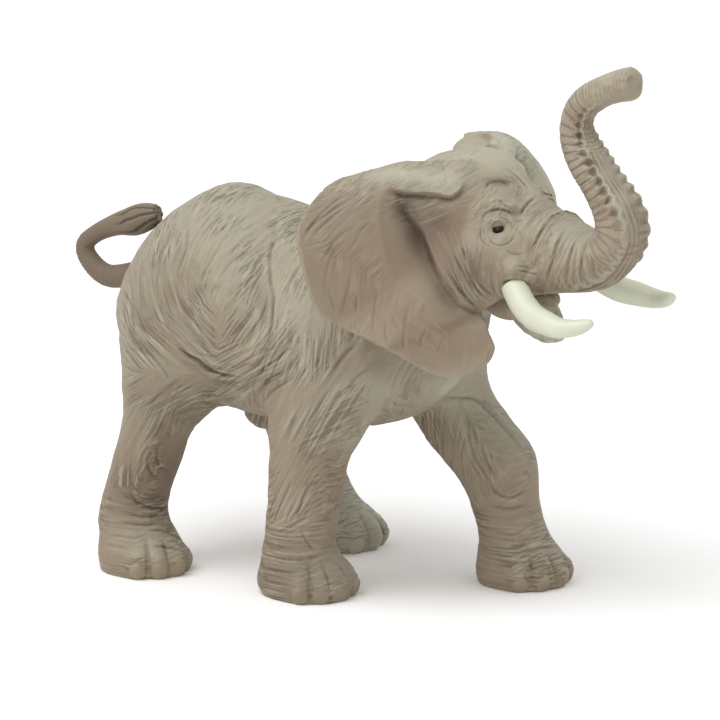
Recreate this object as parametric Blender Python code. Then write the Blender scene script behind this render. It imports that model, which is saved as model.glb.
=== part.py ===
"""Toy elephant figure, moulded in soft plastic and assembled from separate castings.

The animal walks with its head up, its ears spread and its trunk raised in an S. The torso carries
four pegged legs, a pegged head and the tail. The head carries the trunk, the drooping lower jaw,
two ears in slots, two tusks and two eyes in sockets. Every casting is glued, so nothing moves.

Frame: metres, +X towards the trunk, +Y to the animal's left, +Z up, soles on z = 0, and the
middle of the whole figure's box on the Z axis.

The skin is modelled first, as overlapping closed forms that are melted into one surface. Each
casting is then cut from that skin at its parting face, so neighbours always meet.
"""
import math

import bmesh
import bpy
from mathutils import Vector

# Torso and stance
TORSO_LENGTH = 0.101
TORSO_DEPTH = 0.054
TORSO_WIDTH = 0.060
LEG_LENGTH = 0.040
LEG_RADIUS = 0.0086
FOOT_RADIUS = 0.0116
FOOT_HEIGHT = 0.007
TOE_RADIUS = 0.0026

# Head, with the lengths of its crown, face and jaw
HEAD_LENGTH = 0.060
HEAD_HEIGHT = 0.046
HEAD_WIDTH = 0.035
JAW_LENGTH = 0.0223
JAW_WIDTH = 0.0175
JAW_DEPTH = 0.0116
EYE_RADIUS = 0.0019

# Trunk
TRUNK_REACH = 0.0275
TRUNK_RISE = 0.045
TRUNK_RADIUS = 0.0068

# Ears
EAR_SWEEP = 0.022
EAR_SPREAD = 0.0387
EAR_HEIGHT = 0.051
EAR_THICKNESS = 0.0022
EAR_TAB = 0.005

# Tusks and tail
TUSK_LENGTH = 0.030
TUSK_RADIUS = 0.0032
TAIL_LENGTH = 0.020
TAIL_RADIUS = 0.0026

# Assembly. Sockets are opened along their surface's normals, so they take more than the gap
PEG_RADIUS = 0.004
NECK_PEG_RADIUS = 0.008
PEG_LENGTH = 0.006
CROTCH_WIDTH = 0.012
SEAM_DROP = 0.004
SEAM_GAP = 0.0003
SOCKET_GAP = 0.0005

HALF_WIDTH = TORSO_WIDTH / 2
HALF_HEAD = HEAD_WIDTH / 2
HIP_HEIGHT = LEG_LENGTH + TORSO_DEPTH / 2
LEG_SEAM = LEG_LENGTH - SEAM_DROP
OVERRUN = TORSO_LENGTH

# Melted surfaces: their grain as a share of the torso's width or the ear's thickness, how many
# times they are smoothed, and what share of their faces is kept
SKIN_GRAIN_SHARE = 0.020
SKIN_SMOOTHING = 8
SKIN_KEEP_SHARE = 0.10
EAR_GRAIN_SHARE = 0.26
EAR_SMOOTHING = 4
EAR_KEEP_SHARE = 0.03
BODY_RING_POINTS = 40
SMALL_RING_POINTS = 18

# Torso rings: distance from the rump, low edge, high edge, half width
TORSO_SHARES = (
    (0.000, 0.330, 0.480, 0.270),
    (0.030, 0.185, 0.620, 0.480),
    (0.090, 0.090, 0.785, 0.690),
    (0.178, 0.020, 0.915, 0.850),
    (0.277, 0.000, 1.015, 0.917),
    (0.376, -0.020, 0.990, 0.967),
    (0.495, -0.030, 0.885, 1.000),
    (0.614, -0.020, 0.895, 0.983),
    (0.733, 0.000, 1.010, 0.900),
    (0.832, 0.065, 1.120, 0.780),
    (0.911, 0.185, 1.120, 0.620),
    (0.970, 0.320, 1.020, 0.430),
    (1.000, 0.370, 0.833, 0.233),
)
TORSO_TAPER_SHARE = 0.12

# Soft forms on both sides of the torso: place along and up, reach the same way, and how much
# wider they make it. They are the belly, the hollows behind and before it, shoulder and haunch
FORM_SHARES = (
    (0.446, 0.660, 0.080, 0.220, 0.050),
    (0.328, 0.590, 0.040, 0.180, -0.060),
    (0.539, 0.574, 0.035, 0.200, -0.045),
    (0.646, 0.490, 0.070, 0.280, 0.030),
    (0.208, 0.450, 0.080, 0.260, 0.030),
)

# The head starts above the chest; its rings are distance forward, low edge, high edge, half width
# and how far the crown is narrower than the cheeks
HEAD_START_SHARES = (0.772, 0.537)
HEAD_SHARES = (
    (-0.060, -0.152, 0.480, 0.840, 0.10),
    (0.060, -0.110, 0.720, 0.960, 0.11),
    (0.190, -0.060, 0.880, 1.000, 0.12),
    (0.333, 0.000, 0.945, 0.980, 0.18),
    (0.467, 0.076, 0.960, 0.920, 0.30),
    (0.600, 0.152, 0.903, 0.830, 0.42),
    (0.700, 0.217, 0.800, 0.760, 0.42),
    (0.800, 0.250, 0.708, 0.660, 0.34),
    (0.900, 0.272, 0.645, 0.570, 0.18),
    (1.000, 0.293, 0.612, 0.490, 0.08),
)

# Swellings on both sides of the head: place forward, aside and up, then radii the same way
BROW_SHARES = (0.632, 0.430, 0.740, 0.108, 0.160, 0.050)
CHEEK_SHARES = (0.583, 0.771, 0.370, 0.133, 0.286, 0.196)
EYE_PLACE_SHARES = (0.648, 0.600, 0.640)

# Tusk sleeve: forward, aside and up on the head, and its radius as a share of the tusk's
SLEEVE_SHARES = ((0.640, 0.620, 0.520, 1.70), (0.700, 0.680, 0.430, 1.60),
                 (0.760, 0.715, 0.345, 1.45), (0.782, 0.740, 0.322, 1.40))

# Small swelling under the belly: distance from the rump and drop, then radii
SHEATH_SHARES = (0.400, -0.060, 0.090, 0.130, 0.075)

# Legs: foot place along and aside, then rings up the shaft of height, lean, place aside,
# girth fore and aft, girth across
LEG_SHARES = {
    "hind_right_leg": ((0.191, -0.817), (
        (0.176, -0.090, 0.793, 1.035, 1.010),
        (0.250, -0.090, 0.777, 0.976, 0.965),
        (0.324, -0.062, 0.757, 0.965, 0.965),
        (0.412, -0.018, 0.733, 1.020, 1.020),
        (0.500, 0.015, 0.700, 1.010, 1.060),
        (0.588, 0.080, 0.650, 1.260, 1.220),
        (0.706, 0.150, 0.583, 1.820, 1.410),
        (0.853, 0.125, 0.500, 2.000, 1.530),
        (1.000, 0.100, 0.400, 1.760, 1.410),
    )),
    "front_right_leg": ((0.655, -0.660), (
        (0.176, -0.070, 0.660, 1.035, 1.020),
        (0.265, -0.050, 0.660, 1.035, 1.020),
        (0.353, -0.025, 0.660, 1.070, 1.050),
        (0.441, -0.010, 0.657, 1.120, 1.090),
        (0.530, 0.012, 0.650, 1.210, 1.130),
        (0.618, 0.052, 0.640, 1.480, 1.215),
        (0.765, 0.132, 0.617, 1.765, 1.294),
        (0.941, 0.195, 0.567, 1.765, 1.294),
        (1.118, 0.220, 0.500, 1.530, 1.180),
    )),
    "hind_left_leg": ((0.418, 0.790), (
        (0.176, -0.125, 0.783, 1.035, 1.010),
        (0.265, -0.180, 0.767, 0.976, 0.965),
        (0.353, -0.230, 0.750, 0.990, 0.980),
        (0.441, -0.265, 0.730, 1.060, 1.030),
        (0.530, -0.290, 0.700, 1.235, 1.130),
        (0.647, -0.330, 0.630, 1.650, 1.300),
        (0.824, -0.405, 0.530, 2.000, 1.530),
        (1.000, -0.455, 0.400, 1.765, 1.410),
    )),
    "front_left_leg": ((0.998, 0.700), (
        (0.176, -0.055, 0.690, 1.020, 1.010),
        (0.265, -0.108, 0.680, 0.986, 0.986),
        (0.353, -0.145, 0.670, 1.110, 1.080),
        (0.426, -0.200, 0.660, 1.330, 1.240),
        (0.500, -0.300, 0.650, 1.510, 1.370),
        (0.588, -0.440, 0.640, 1.400, 1.320),
        (0.706, -0.575, 0.620, 1.400, 1.270),
        (0.853, -0.612, 0.580, 1.640, 1.294),
        (1.029, -0.637, 0.500, 1.530, 1.180),
    )),
}
# Foot rings, from below the ground, where the sole is cut flat: height, lean, girths
FOOT_SHARES = ((-0.450, 0.000, 0.900, 0.860), (0.000, 0.000, 0.930, 0.890),
               (0.430, -0.020, 1.000, 0.950), (1.000, -0.070, 0.920, 0.880))
TOE_COUNT = 5
TOE_SPREAD = math.radians(128)
TOE_SEAT_SHARE = 0.86
TOE_HEIGHT_SHARE = 0.42

# Trunk axis from the face: forward, up, half thickness, half width
TRUNK_SHARES = (
    (0.000, 0.011, 1.600, 1.615),
    (0.182, -0.022, 1.385, 1.477),
    (0.425, -0.040, 1.185, 1.277),
    (0.618, -0.013, 1.077, 1.138),
    (0.749, 0.058, 1.000, 1.062),
    (0.815, 0.160, 0.977, 1.031),
    (0.771, 0.256, 0.938, 0.969),
    (0.684, 0.331, 0.900, 0.923),
    (0.582, 0.409, 0.823, 0.846),
    (0.480, 0.491, 0.777, 0.800),
    (0.396, 0.578, 0.700, 0.723),
    (0.356, 0.669, 0.631, 0.654),
    (0.371, 0.760, 0.569, 0.592),
    (0.465, 0.853, 0.508, 0.538),
    (0.680, 0.933, 0.477, 0.508),
    (0.873, 0.978, 0.523, 0.554),
    (1.000, 1.000, 0.577, 0.600),
)
TRUNK_ROOT_SHARES = (0.767, 0.500)

# Parting faces in the upright middle plane. The neck's runs through two points of the torso, and
# the trunk's is a line of points on the head, from the throat side up
NECK_SEAM_SHARES = ((1.069, 0.444), (0.812, 1.296))
TRUNK_SEAM_SHARES = ((0.917, 0.120), (0.845, 0.720), (0.775, 0.810))
TRUNK_PEG_SHARES = (0.877, 0.470)

# Jaw: forward and up from the mouth's hinge, half width, half depth
JAW_ROOT_SHARES = (0.467, 0.239)
JAW_SHARES = (
    (0.000, 0.010, 0.560, 0.600),
    (0.269, -0.070, 0.640, 0.640),
    (0.471, -0.145, 0.740, 0.740),
    (0.641, -0.235, 0.800, 0.900),
    (0.807, -0.314, 0.660, 0.862),
    (0.942, -0.395, 0.380, 0.483),
    (1.000, -0.430, 0.190, 0.240),
)

# Tusk: forward, outward and up from where it leaves the sleeve, and its radius
TUSK_ROOT_SHARES = (0.787, 0.800, 0.337)
TUSK_SHARES = (
    (-0.133, -0.047, 0.153, 0.850),
    (0.000, 0.000, 0.000, 1.000),
    (0.133, 0.067, -0.103, 1.020),
    (0.277, 0.117, -0.177, 1.000),
    (0.423, 0.150, -0.203, 0.940),
    (0.567, 0.167, -0.220, 0.800),
    (0.687, 0.140, -0.210, 0.660),
    (0.780, 0.107, -0.183, 0.520),
    (0.853, 0.077, -0.147, 0.250),
)

# Tail: back and up from the rump, and its radius; the last rings are the tuft
TAIL_ROOT_SHARES = (0.020, 0.519)
TAIL_SHARES = (
    (-0.250, 0.075, 1.200),
    (0.315, -0.115, 1.160),
    (0.650, -0.165, 1.080),
    (0.900, -0.020, 0.970),
    (0.985, 0.170, 0.900),
    (0.790, 0.350, 0.860),
    (0.480, 0.500, 1.080),
    (0.165, 0.590, 1.420),
    (-0.030, 0.670, 1.300),
    (-0.190, 0.750, 0.750),
)

# Ear root on the head, top to bottom: forward, aside, up
EAR_ROOT_SHARES = ((0.433, 0.500, 0.945), (0.460, 0.750, 0.783), (0.495, 0.900, 0.565),
                   (0.545, 0.900, 0.370), (0.575, 0.740, 0.215))
# Ear outlines from the upper root round to the lower root: back, out, down. The right ear hangs
# further forward than the left one
EAR_OUTLINE_SHARES = {
    -1: (
        (0.470, 0.265, 0.020), (0.980, 0.495, 0.085), (0.930, 0.860, 0.155), (0.880, 1.040, 0.265),
        (0.736, 1.085, 0.427), (0.618, 1.040, 0.627), (0.468, 0.912, 0.715), (0.005, 0.757, 0.823),
        (-0.290, 0.497, 0.966), (-0.470, 0.343, 0.985), (-0.650, 0.214, 0.940),
        (-0.700, 0.163, 0.860),
    ),
    1: (
        (0.500, 0.265, 0.010), (1.180, 0.460, 0.090), (1.080, 0.800, 0.125), (0.930, 0.980, 0.240),
        (0.740, 1.085, 0.430), (0.620, 1.035, 0.600), (0.500, 0.900, 0.720), (0.200, 0.740, 0.780),
        (0.050, 0.530, 0.880), (-0.050, 0.360, 0.900), (-0.250, 0.230, 0.880),
        (-0.400, 0.170, 0.830),
    ),
}
# From root to rim: how far the ear dips or swells, as a share of that distance, and its thickness
EAR_SECTION_SHARES = ((0.000, 1.500), (-0.100, 1.300), (-0.040, 1.100), (0.030, 1.000),
                      (0.010, 0.950), (-0.025, 0.900), (0.000, 0.700))
EAR_TAB_RISE_SHARE = 0.45
EAR_STEPS_ALONG = 30
EAR_STEPS_ACROSS = 10

SKIN_COLOUR = (0.30, 0.27, 0.235, 1.0)
IVORY_COLOUR = (0.76, 0.78, 0.66, 1.0)
EYE_COLOUR = (0.02, 0.012, 0.008, 1.0)


def make_material(name, colour, roughness):
    """A plain plastic finish."""
    material = bpy.data.materials.new(name)
    material.use_nodes = True
    shader = material.node_tree.nodes["Principled BSDF"]
    shader.inputs["Base Color"].default_value = colour
    shader.inputs["Roughness"].default_value = roughness
    shader.inputs["Metallic"].default_value = 0.0
    return material


def smooth_rows(rows, steps):
    """Rows of numbers resampled on a smooth curve through them, with steps to each interval."""
    padded = [rows[0]] + list(rows) + [rows[-1]]
    result = []
    for index in range(1, len(padded) - 2):
        before, start, end, after = padded[index - 1:index + 3]
        for step in range(steps):
            t = step / steps
            result.append(tuple(
                0.5 * (2 * b + (c - a) * t + (2 * a - 5 * b + 4 * c - d) * t ** 2
                       + (3 * b - a - 3 * c + d) * t ** 3)
                for a, b, c, d in zip(before, start, end, after)))
    result.append(tuple(rows[-1]))
    return result


def ring(centre, across, upward, taper=0.0, count=BODY_RING_POINTS):
    """Points of an ellipse with two half axes, narrower towards the tip of the upward one."""
    points = []
    for index in range(count):
        angle = 2 * math.pi * index / count
        width = 1 - taper * math.sin(angle)
        points.append(centre + across * math.cos(angle) * width + upward * math.sin(angle))
    return points


def add_loft(bm, rings):
    """A closed form through rings of the same number of points."""
    rows = [[bm.verts.new(point) for point in points] for points in rings]
    for low, high in zip(rows, rows[1:]):
        for index in range(len(low)):
            following = (index + 1) % len(low)
            bm.faces.new((low[index], low[following], high[following], high[index]))
    bm.faces.new(list(reversed(rows[0])))
    bm.faces.new(rows[-1])


def add_ellipsoid(bm, centre, radii):
    """A closed ball stretched to three radii."""
    made = bmesh.ops.create_uvsphere(bm, u_segments=16, v_segments=10, radius=1.0)
    for vert in made["verts"]:
        vert.co = centre + Vector(axis * radius for axis, radius in zip(vert.co, radii))


def add_prism(bm, outline, low_y, high_y):
    """A closed block whose outline lies in the upright middle plane."""
    near = [bm.verts.new((x, low_y, z)) for x, z in outline]
    far = [bm.verts.new((x, high_y, z)) for x, z in outline]
    bm.faces.new(near)
    bm.faces.new(list(reversed(far)))
    for index in range(len(near)):
        following = (index + 1) % len(near)
        bm.faces.new((near[index], far[index], far[following], near[following]))


def add_box(bm, low, high):
    """A closed block between two corners."""
    outline = ((low[0], low[2]), (high[0], low[2]), (high[0], high[2]), (low[0], high[2]))
    add_prism(bm, outline, low[1], high[1])


def add_peg(bm, base, direction, radius, length):
    """A round peg with its middle on base, reaching length each way."""
    axis = direction.normalized()
    across = axis.orthogonal().normalized() * radius
    upward = axis.cross(across.normalized()) * radius
    add_loft(bm, [ring(base + axis * reach, across, upward, 0.0, SMALL_RING_POINTS)
                  for reach in (-length, length)])


def add_tube(bm, stations, half_sizes):
    """A closed form along a path, with half sizes in the path's own bend plane and across it."""
    rings = []
    for index, point in enumerate(stations):
        before = stations[max(index - 1, 0)]
        after = stations[min(index + 1, len(stations) - 1)]
        tangent = (after - before).normalized()
        across = Vector((0, 1, 0))
        across = (across - tangent * across.dot(tangent)).normalized()
        upward = across.cross(tangent)
        thickness, width = half_sizes[index]
        rings.append(ring(point, across * width, upward * thickness, 0.0, SMALL_RING_POINTS))
    add_loft(bm, rings)


def torso_point(along_share, up_share):
    """A place in the torso's upright middle plane."""
    return along_share * TORSO_LENGTH, LEG_LENGTH + up_share * TORSO_DEPTH


def head_point(along_share, aside_share, up_share, side=1):
    """A place on the head, from shares of its length, half width and height."""
    start_x, base_z = torso_point(*HEAD_START_SHARES)
    return Vector((start_x + along_share * HEAD_LENGTH, side * aside_share * HALF_HEAD,
                   base_z + up_share * HEAD_HEIGHT))


def formed(point):
    """A point of the torso's ring, moved aside by the soft forms."""
    along = point.x / TORSO_LENGTH
    up = (point.z - LEG_LENGTH) / TORSO_DEPTH
    swell = sum(height * math.exp(-((along - place) / reach) ** 2 - ((up - level) / rise) ** 2)
                for place, level, reach, rise, height in FORM_SHARES)
    return Vector((point.x, point.y * (1 + swell), point.z))


def add_torso(bm):
    """The barrel of the body with its soft forms and the small swelling under it."""
    rings = []
    for along, low, high, width in smooth_rows(TORSO_SHARES, 4):
        x, bottom = torso_point(along, low)
        top = torso_point(along, high)[1]
        centre = Vector((x, 0, (bottom + top) / 2))
        points = ring(centre, Vector((0, width * HALF_WIDTH, 0)),
                      Vector((0, 0, (top - bottom) / 2)), TORSO_TAPER_SHARE)
        rings.append([formed(point) for point in points])
    add_loft(bm, rings)
    along, drop, length, breadth, depth = SHEATH_SHARES
    x, z = torso_point(along, drop)
    add_ellipsoid(bm, Vector((x, 0, z)),
                  (length * TORSO_LENGTH, breadth * HALF_WIDTH, depth * TORSO_DEPTH))


def leg_rings(foot_shares, shaft_shares):
    """Rings of one leg from below its sole up into the torso."""
    foot_along, foot_aside = foot_shares
    side = math.copysign(1, foot_aside)
    foot_x = foot_along * TORSO_LENGTH
    foot_y = foot_aside * HALF_WIDTH
    rings = []
    for height, lean, fore, across in FOOT_SHARES:
        rings.append((height * FOOT_HEIGHT, foot_x + lean * FOOT_RADIUS, foot_y,
                      fore * FOOT_RADIUS, across * FOOT_RADIUS))
    for height, lean, aside, fore, across in shaft_shares:
        rings.append((height * HIP_HEIGHT, foot_x + lean * LEG_LENGTH, side * aside * HALF_WIDTH,
                      fore * LEG_RADIUS, across * LEG_RADIUS))
    return rings


def add_leg(bm, foot_shares, shaft_shares):
    """One leg with its toes."""
    rings = [ring(Vector((x, y, z)), Vector((fore, 0, 0)), Vector((0, across, 0)))
             for z, x, y, fore, across in smooth_rows(leg_rings(foot_shares, shaft_shares), 4)]
    add_loft(bm, rings)
    foot_x = foot_shares[0] * TORSO_LENGTH
    foot_y = foot_shares[1] * HALF_WIDTH
    seat = FOOT_RADIUS * TOE_SEAT_SHARE
    for toe in range(TOE_COUNT):
        turn = TOE_SPREAD * (toe / (TOE_COUNT - 1) - 0.5)
        centre = Vector((foot_x + seat * math.cos(turn), foot_y + seat * math.sin(turn),
                         FOOT_HEIGHT * TOE_HEIGHT_SHARE))
        add_ellipsoid(bm, centre, (TOE_RADIUS, TOE_RADIUS, FOOT_HEIGHT / 2))


def add_head(bm):
    """Neck, skull, brows, cheeks and the sleeves that the tusks grow from."""
    rings = []
    for along, low, high, width, taper in smooth_rows(HEAD_SHARES, 4):
        bottom = head_point(along, 0, low)
        top = head_point(along, 0, high)
        rings.append(ring((bottom + top) / 2, Vector((0, width * HALF_HEAD, 0)),
                          (top - bottom) / 2, taper))
    add_loft(bm, rings)
    for side in (-1, 1):
        for shares in (BROW_SHARES, CHEEK_SHARES):
            radii = (shares[3] * HEAD_LENGTH, shares[4] * HALF_HEAD, shares[5] * HEAD_HEIGHT)
            add_ellipsoid(bm, head_point(*shares[:3], side), radii)
        sleeve = smooth_rows(SLEEVE_SHARES, 3)
        path = [head_point(*row[:3], side) for row in sleeve]
        add_tube(bm, path, [(row[3] * TUSK_RADIUS, row[3] * TUSK_RADIUS) for row in sleeve])


def add_trunk(bm):
    """The raised trunk, from inside the face to its flared tip."""
    rows = smooth_rows(TRUNK_SHARES, 4)
    root = head_point(TRUNK_ROOT_SHARES[0], 0, TRUNK_ROOT_SHARES[1])
    path = [root + Vector((row[0] * TRUNK_REACH, 0, row[1] * TRUNK_RISE)) for row in rows]
    add_tube(bm, path, [(row[2] * TRUNK_RADIUS, row[3] * TRUNK_RADIUS) for row in rows])


def add_jaw(bm):
    """The drooping lower jaw."""
    root = head_point(JAW_ROOT_SHARES[0], 0, JAW_ROOT_SHARES[1])
    rings = []
    for forward, up, width, depth in smooth_rows(JAW_SHARES, 3):
        centre = root + Vector((forward * JAW_LENGTH, 0, up * JAW_LENGTH))
        rings.append(ring(centre, Vector((0, width * JAW_WIDTH / 2, 0)),
                          Vector((0, 0, depth * JAW_DEPTH / 2)), 0.0, SMALL_RING_POINTS))
    add_loft(bm, rings)


def add_tusk(bm, side):
    """One tusk, with the root that sits in its sleeve."""
    rows = smooth_rows(TUSK_SHARES, 3)
    root = head_point(*TUSK_ROOT_SHARES, side)
    path = [root + Vector((row[0], side * row[1], row[2])) * TUSK_LENGTH for row in rows]
    add_tube(bm, path, [(row[3] * TUSK_RADIUS, row[3] * TUSK_RADIUS) for row in rows])


def add_tail(bm):
    """The tail with its tuft, curled up over the rump."""
    rows = smooth_rows(TAIL_SHARES, 3)
    x, z = torso_point(*TAIL_ROOT_SHARES)
    path = [Vector((x - row[0] * TAIL_LENGTH, 0, z + row[1] * TAIL_LENGTH)) for row in rows]
    add_tube(bm, path, [(row[2] * TAIL_RADIUS, row[2] * TAIL_RADIUS) for row in rows])


def add_eye(bm, side):
    """One eyeball."""
    add_ellipsoid(bm, head_point(*EYE_PLACE_SHARES, side), (EYE_RADIUS, EYE_RADIUS, EYE_RADIUS))


def add_ear(bm, side):
    """One ear, a cupped sheet between its root on the head and its outline."""
    steps = EAR_STEPS_ALONG
    roots = smooth_rows(EAR_ROOT_SHARES, steps)
    outline = smooth_rows(EAR_OUTLINE_SHARES[side], steps)
    head_top = head_point(*EAR_ROOT_SHARES[0], side)
    centre_z = head_point(0, 0, 0.5).z
    sheet = []
    for step in range(steps + 1):
        share = step / steps
        root = head_point(*roots[round(share * (len(roots) - 1))], side)
        back, out, down = outline[round(share * (len(outline) - 1))]
        rim = head_top + Vector((-back * EAR_SWEEP, side * out * EAR_SPREAD, -down * EAR_HEIGHT))
        inward = Vector((0, -root.y, (centre_z - root.z) * EAR_TAB_RISE_SHARE))
        tab = root + (inward.normalized() - (rim - root).normalized()).normalized() * EAR_TAB
        row = [tab] + [root.lerp(rim, place / EAR_STEPS_ACROSS)
                       for place in range(EAR_STEPS_ACROSS + 1)]
        sheet.append(row)
    add_sheet(bm, sheet, side)


def add_sheet(bm, sheet, side):
    """A closed cupped skin with a front and a back, made on the points of a flat one."""
    front, back = [], []
    section = smooth_rows(EAR_SECTION_SHARES, EAR_STEPS_ACROSS)
    for index, row in enumerate(sheet):
        before = sheet[max(index - 1, 0)]
        after = sheet[min(index + 1, len(sheet) - 1)]
        front_row, back_row = [], []
        for place, point in enumerate(row):
            downward = after[place] - before[place]
            outward = row[min(place + 1, len(row) - 1)] - row[max(place - 1, 0)]
            normal = downward.cross(outward).normalized() * side
            share = max(place - 1, 0) / EAR_STEPS_ACROSS
            dip_share, girth_share = section[round(share * (len(section) - 1))]
            dip = dip_share * (row[-1] - row[1]).length
            half = girth_share * EAR_THICKNESS / 2
            front_row.append(bm.verts.new(point + normal * (dip + half)))
            back_row.append(bm.verts.new(point + normal * (dip - half)))
        front.append(front_row)
        back.append(back_row)
    for low, high, low_back, high_back in zip(front, front[1:], back, back[1:]):
        for place in range(len(low) - 1):
            bm.faces.new((low[place], low[place + 1], high[place + 1], high[place]))
            bm.faces.new((high_back[place], high_back[place + 1], low_back[place + 1],
                          low_back[place]))
        bm.faces.new((low[0], high[0], high_back[0], low_back[0]))
        bm.faces.new((high[-1], low[-1], low_back[-1], high_back[-1]))
    for near, far in ((front[0], back[0]), (front[-1], back[-1])):
        for place in range(len(near) - 1):
            bm.faces.new((near[place], far[place], far[place + 1], near[place + 1]))


def make_object(name, build, parent, material=None):
    """An object whose mesh a builder function fills; without a material it is a hidden helper."""
    bm = bmesh.new()
    build(bm)
    bmesh.ops.recalc_face_normals(bm, faces=bm.faces)
    mesh = bpy.data.meshes.new(name)
    bm.to_mesh(mesh)
    bm.free()
    mesh.shade_smooth()
    made = bpy.data.objects.new(name, mesh)
    bpy.context.scene.collection.objects.link(made)
    made.parent = parent
    if material is None:
        made.hide_render = True
        made.display_type = "WIRE"
    else:
        mesh.materials.append(material)
    return made


def melt(target, grain, smoothing, keep_share):
    """Turn overlapping closed forms into one even surface."""
    remesh = target.modifiers.new("Melt", "REMESH")
    remesh.mode = "VOXEL"
    remesh.voxel_size = grain
    remesh.use_smooth_shade = True
    relax = target.modifiers.new("Relax", "SMOOTH")
    relax.factor = 0.5
    relax.iterations = smoothing
    thin = target.modifiers.new("Thin", "DECIMATE")
    thin.ratio = keep_share


def make_ear(name, side, parent, material=None):
    """One ear with an even surface."""
    ear = make_object(name, lambda bm: add_ear(bm, side), parent, material)
    melt(ear, EAR_GRAIN_SHARE * EAR_THICKNESS, EAR_SMOOTHING, EAR_KEEP_SHARE)
    return ear


def as_socket(socket):
    """Grow a hidden form by the socket's gap, so that it cuts room for the piece of that form."""
    grow = socket.modifiers.new("Clearance", "DISPLACE")
    grow.strength = SOCKET_GAP
    grow.mid_level = 0.0
    return socket


def combine(target, other, operation):
    """Cut, join or keep the common part of two closed forms."""
    modifier = target.modifiers.new(operation.title(), "BOOLEAN")
    modifier.operation = operation
    modifier.solver = "EXACT"
    modifier.object = other


def make_skin(parent):
    """The whole animal's surface, before it is parted."""
    def build(bm):
        add_torso(bm)
        add_head(bm)
        add_trunk(bm)
        for foot_shares, shaft_shares in LEG_SHARES.values():
            add_leg(bm, foot_shares, shaft_shares)

    skin = make_object("skin", build, parent)
    melt(skin, SKIN_GRAIN_SHARE * TORSO_WIDTH, SKIN_SMOOTHING, SKIN_KEEP_SHARE)
    return skin


def neck_frame():
    """A point on the neck's parting face, the face's slope and its forward normal."""
    low_x, low_z = torso_point(*NECK_SEAM_SHARES[0])
    high_x, high_z = torso_point(*NECK_SEAM_SHARES[1])
    low = Vector((low_x, 0, low_z))
    high = Vector((high_x, 0, high_z))
    slope = (high - low).normalized()
    return (low + high) / 2, slope, Vector((slope.z, 0, -slope.x))


def add_head_block(bm, grow):
    """Everything in front of the neck's parting face."""
    middle, slope, normal = neck_frame()
    foot = middle - slope * OVERRUN - normal * grow
    crown = middle + slope * OVERRUN - normal * grow
    corners = (foot, foot + normal * OVERRUN * 2, crown + normal * OVERRUN * 2, crown)
    add_prism(bm, [(corner.x, corner.z) for corner in corners], -OVERRUN, OVERRUN)


def add_trunk_block(bm, grow):
    """Everything in front of the trunk's parting face."""
    seam = [head_point(along, 0, up) for along, up in TRUNK_SEAM_SHARES]
    back = Vector((-grow, 0, -grow))
    points = [point + back for point in seam]
    below = points[0].z - OVERRUN
    above = points[-1].z + OVERRUN
    front = points[0].x + OVERRUN
    outline = [(points[0].x, below), (front, below), (front, above), (points[-1].x, above)]
    outline += [(point.x, point.z) for point in reversed(points)]
    add_prism(bm, outline, -OVERRUN, OVERRUN)


def add_leg_block(bm, name):
    """Everything around one leg, from the ground up to its parting face."""
    foot_shares = LEG_SHARES[name][0]
    side = math.copysign(1, foot_shares[1])
    pair = [other for other in LEG_SHARES if LEG_SHARES[other][0][1] * side > 0]
    foot_split = sum(LEG_SHARES[other][0][0] for other in pair) / 2 * TORSO_LENGTH
    root_split = sum(leg_peg(other).x for other in pair) / 2
    away = math.copysign(OVERRUN, foot_shares[0] * TORSO_LENGTH - foot_split)
    outline = ((foot_split, 0), (foot_split + away, 0), (root_split + away, LEG_SEAM),
               (root_split, LEG_SEAM))
    low_y, high_y = sorted((side * CROTCH_WIDTH / 2, side * OVERRUN))
    add_prism(bm, outline, low_y, high_y)


def leg_peg(name):
    """Where a leg's peg stands on its parting face."""
    foot_shares, shaft_shares = LEG_SHARES[name]
    rings = leg_rings(foot_shares, shaft_shares)
    for low, high in zip(rings, rings[1:]):
        if low[0] <= LEG_SEAM <= high[0]:
            share = (LEG_SEAM - low[0]) / (high[0] - low[0])
            x = low[1] + (high[1] - low[1]) * share
            y = low[2] + (high[2] - low[2]) * share
            return Vector((x, y, LEG_SEAM))
    raise ValueError(f"the parting face misses {name}")


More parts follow.
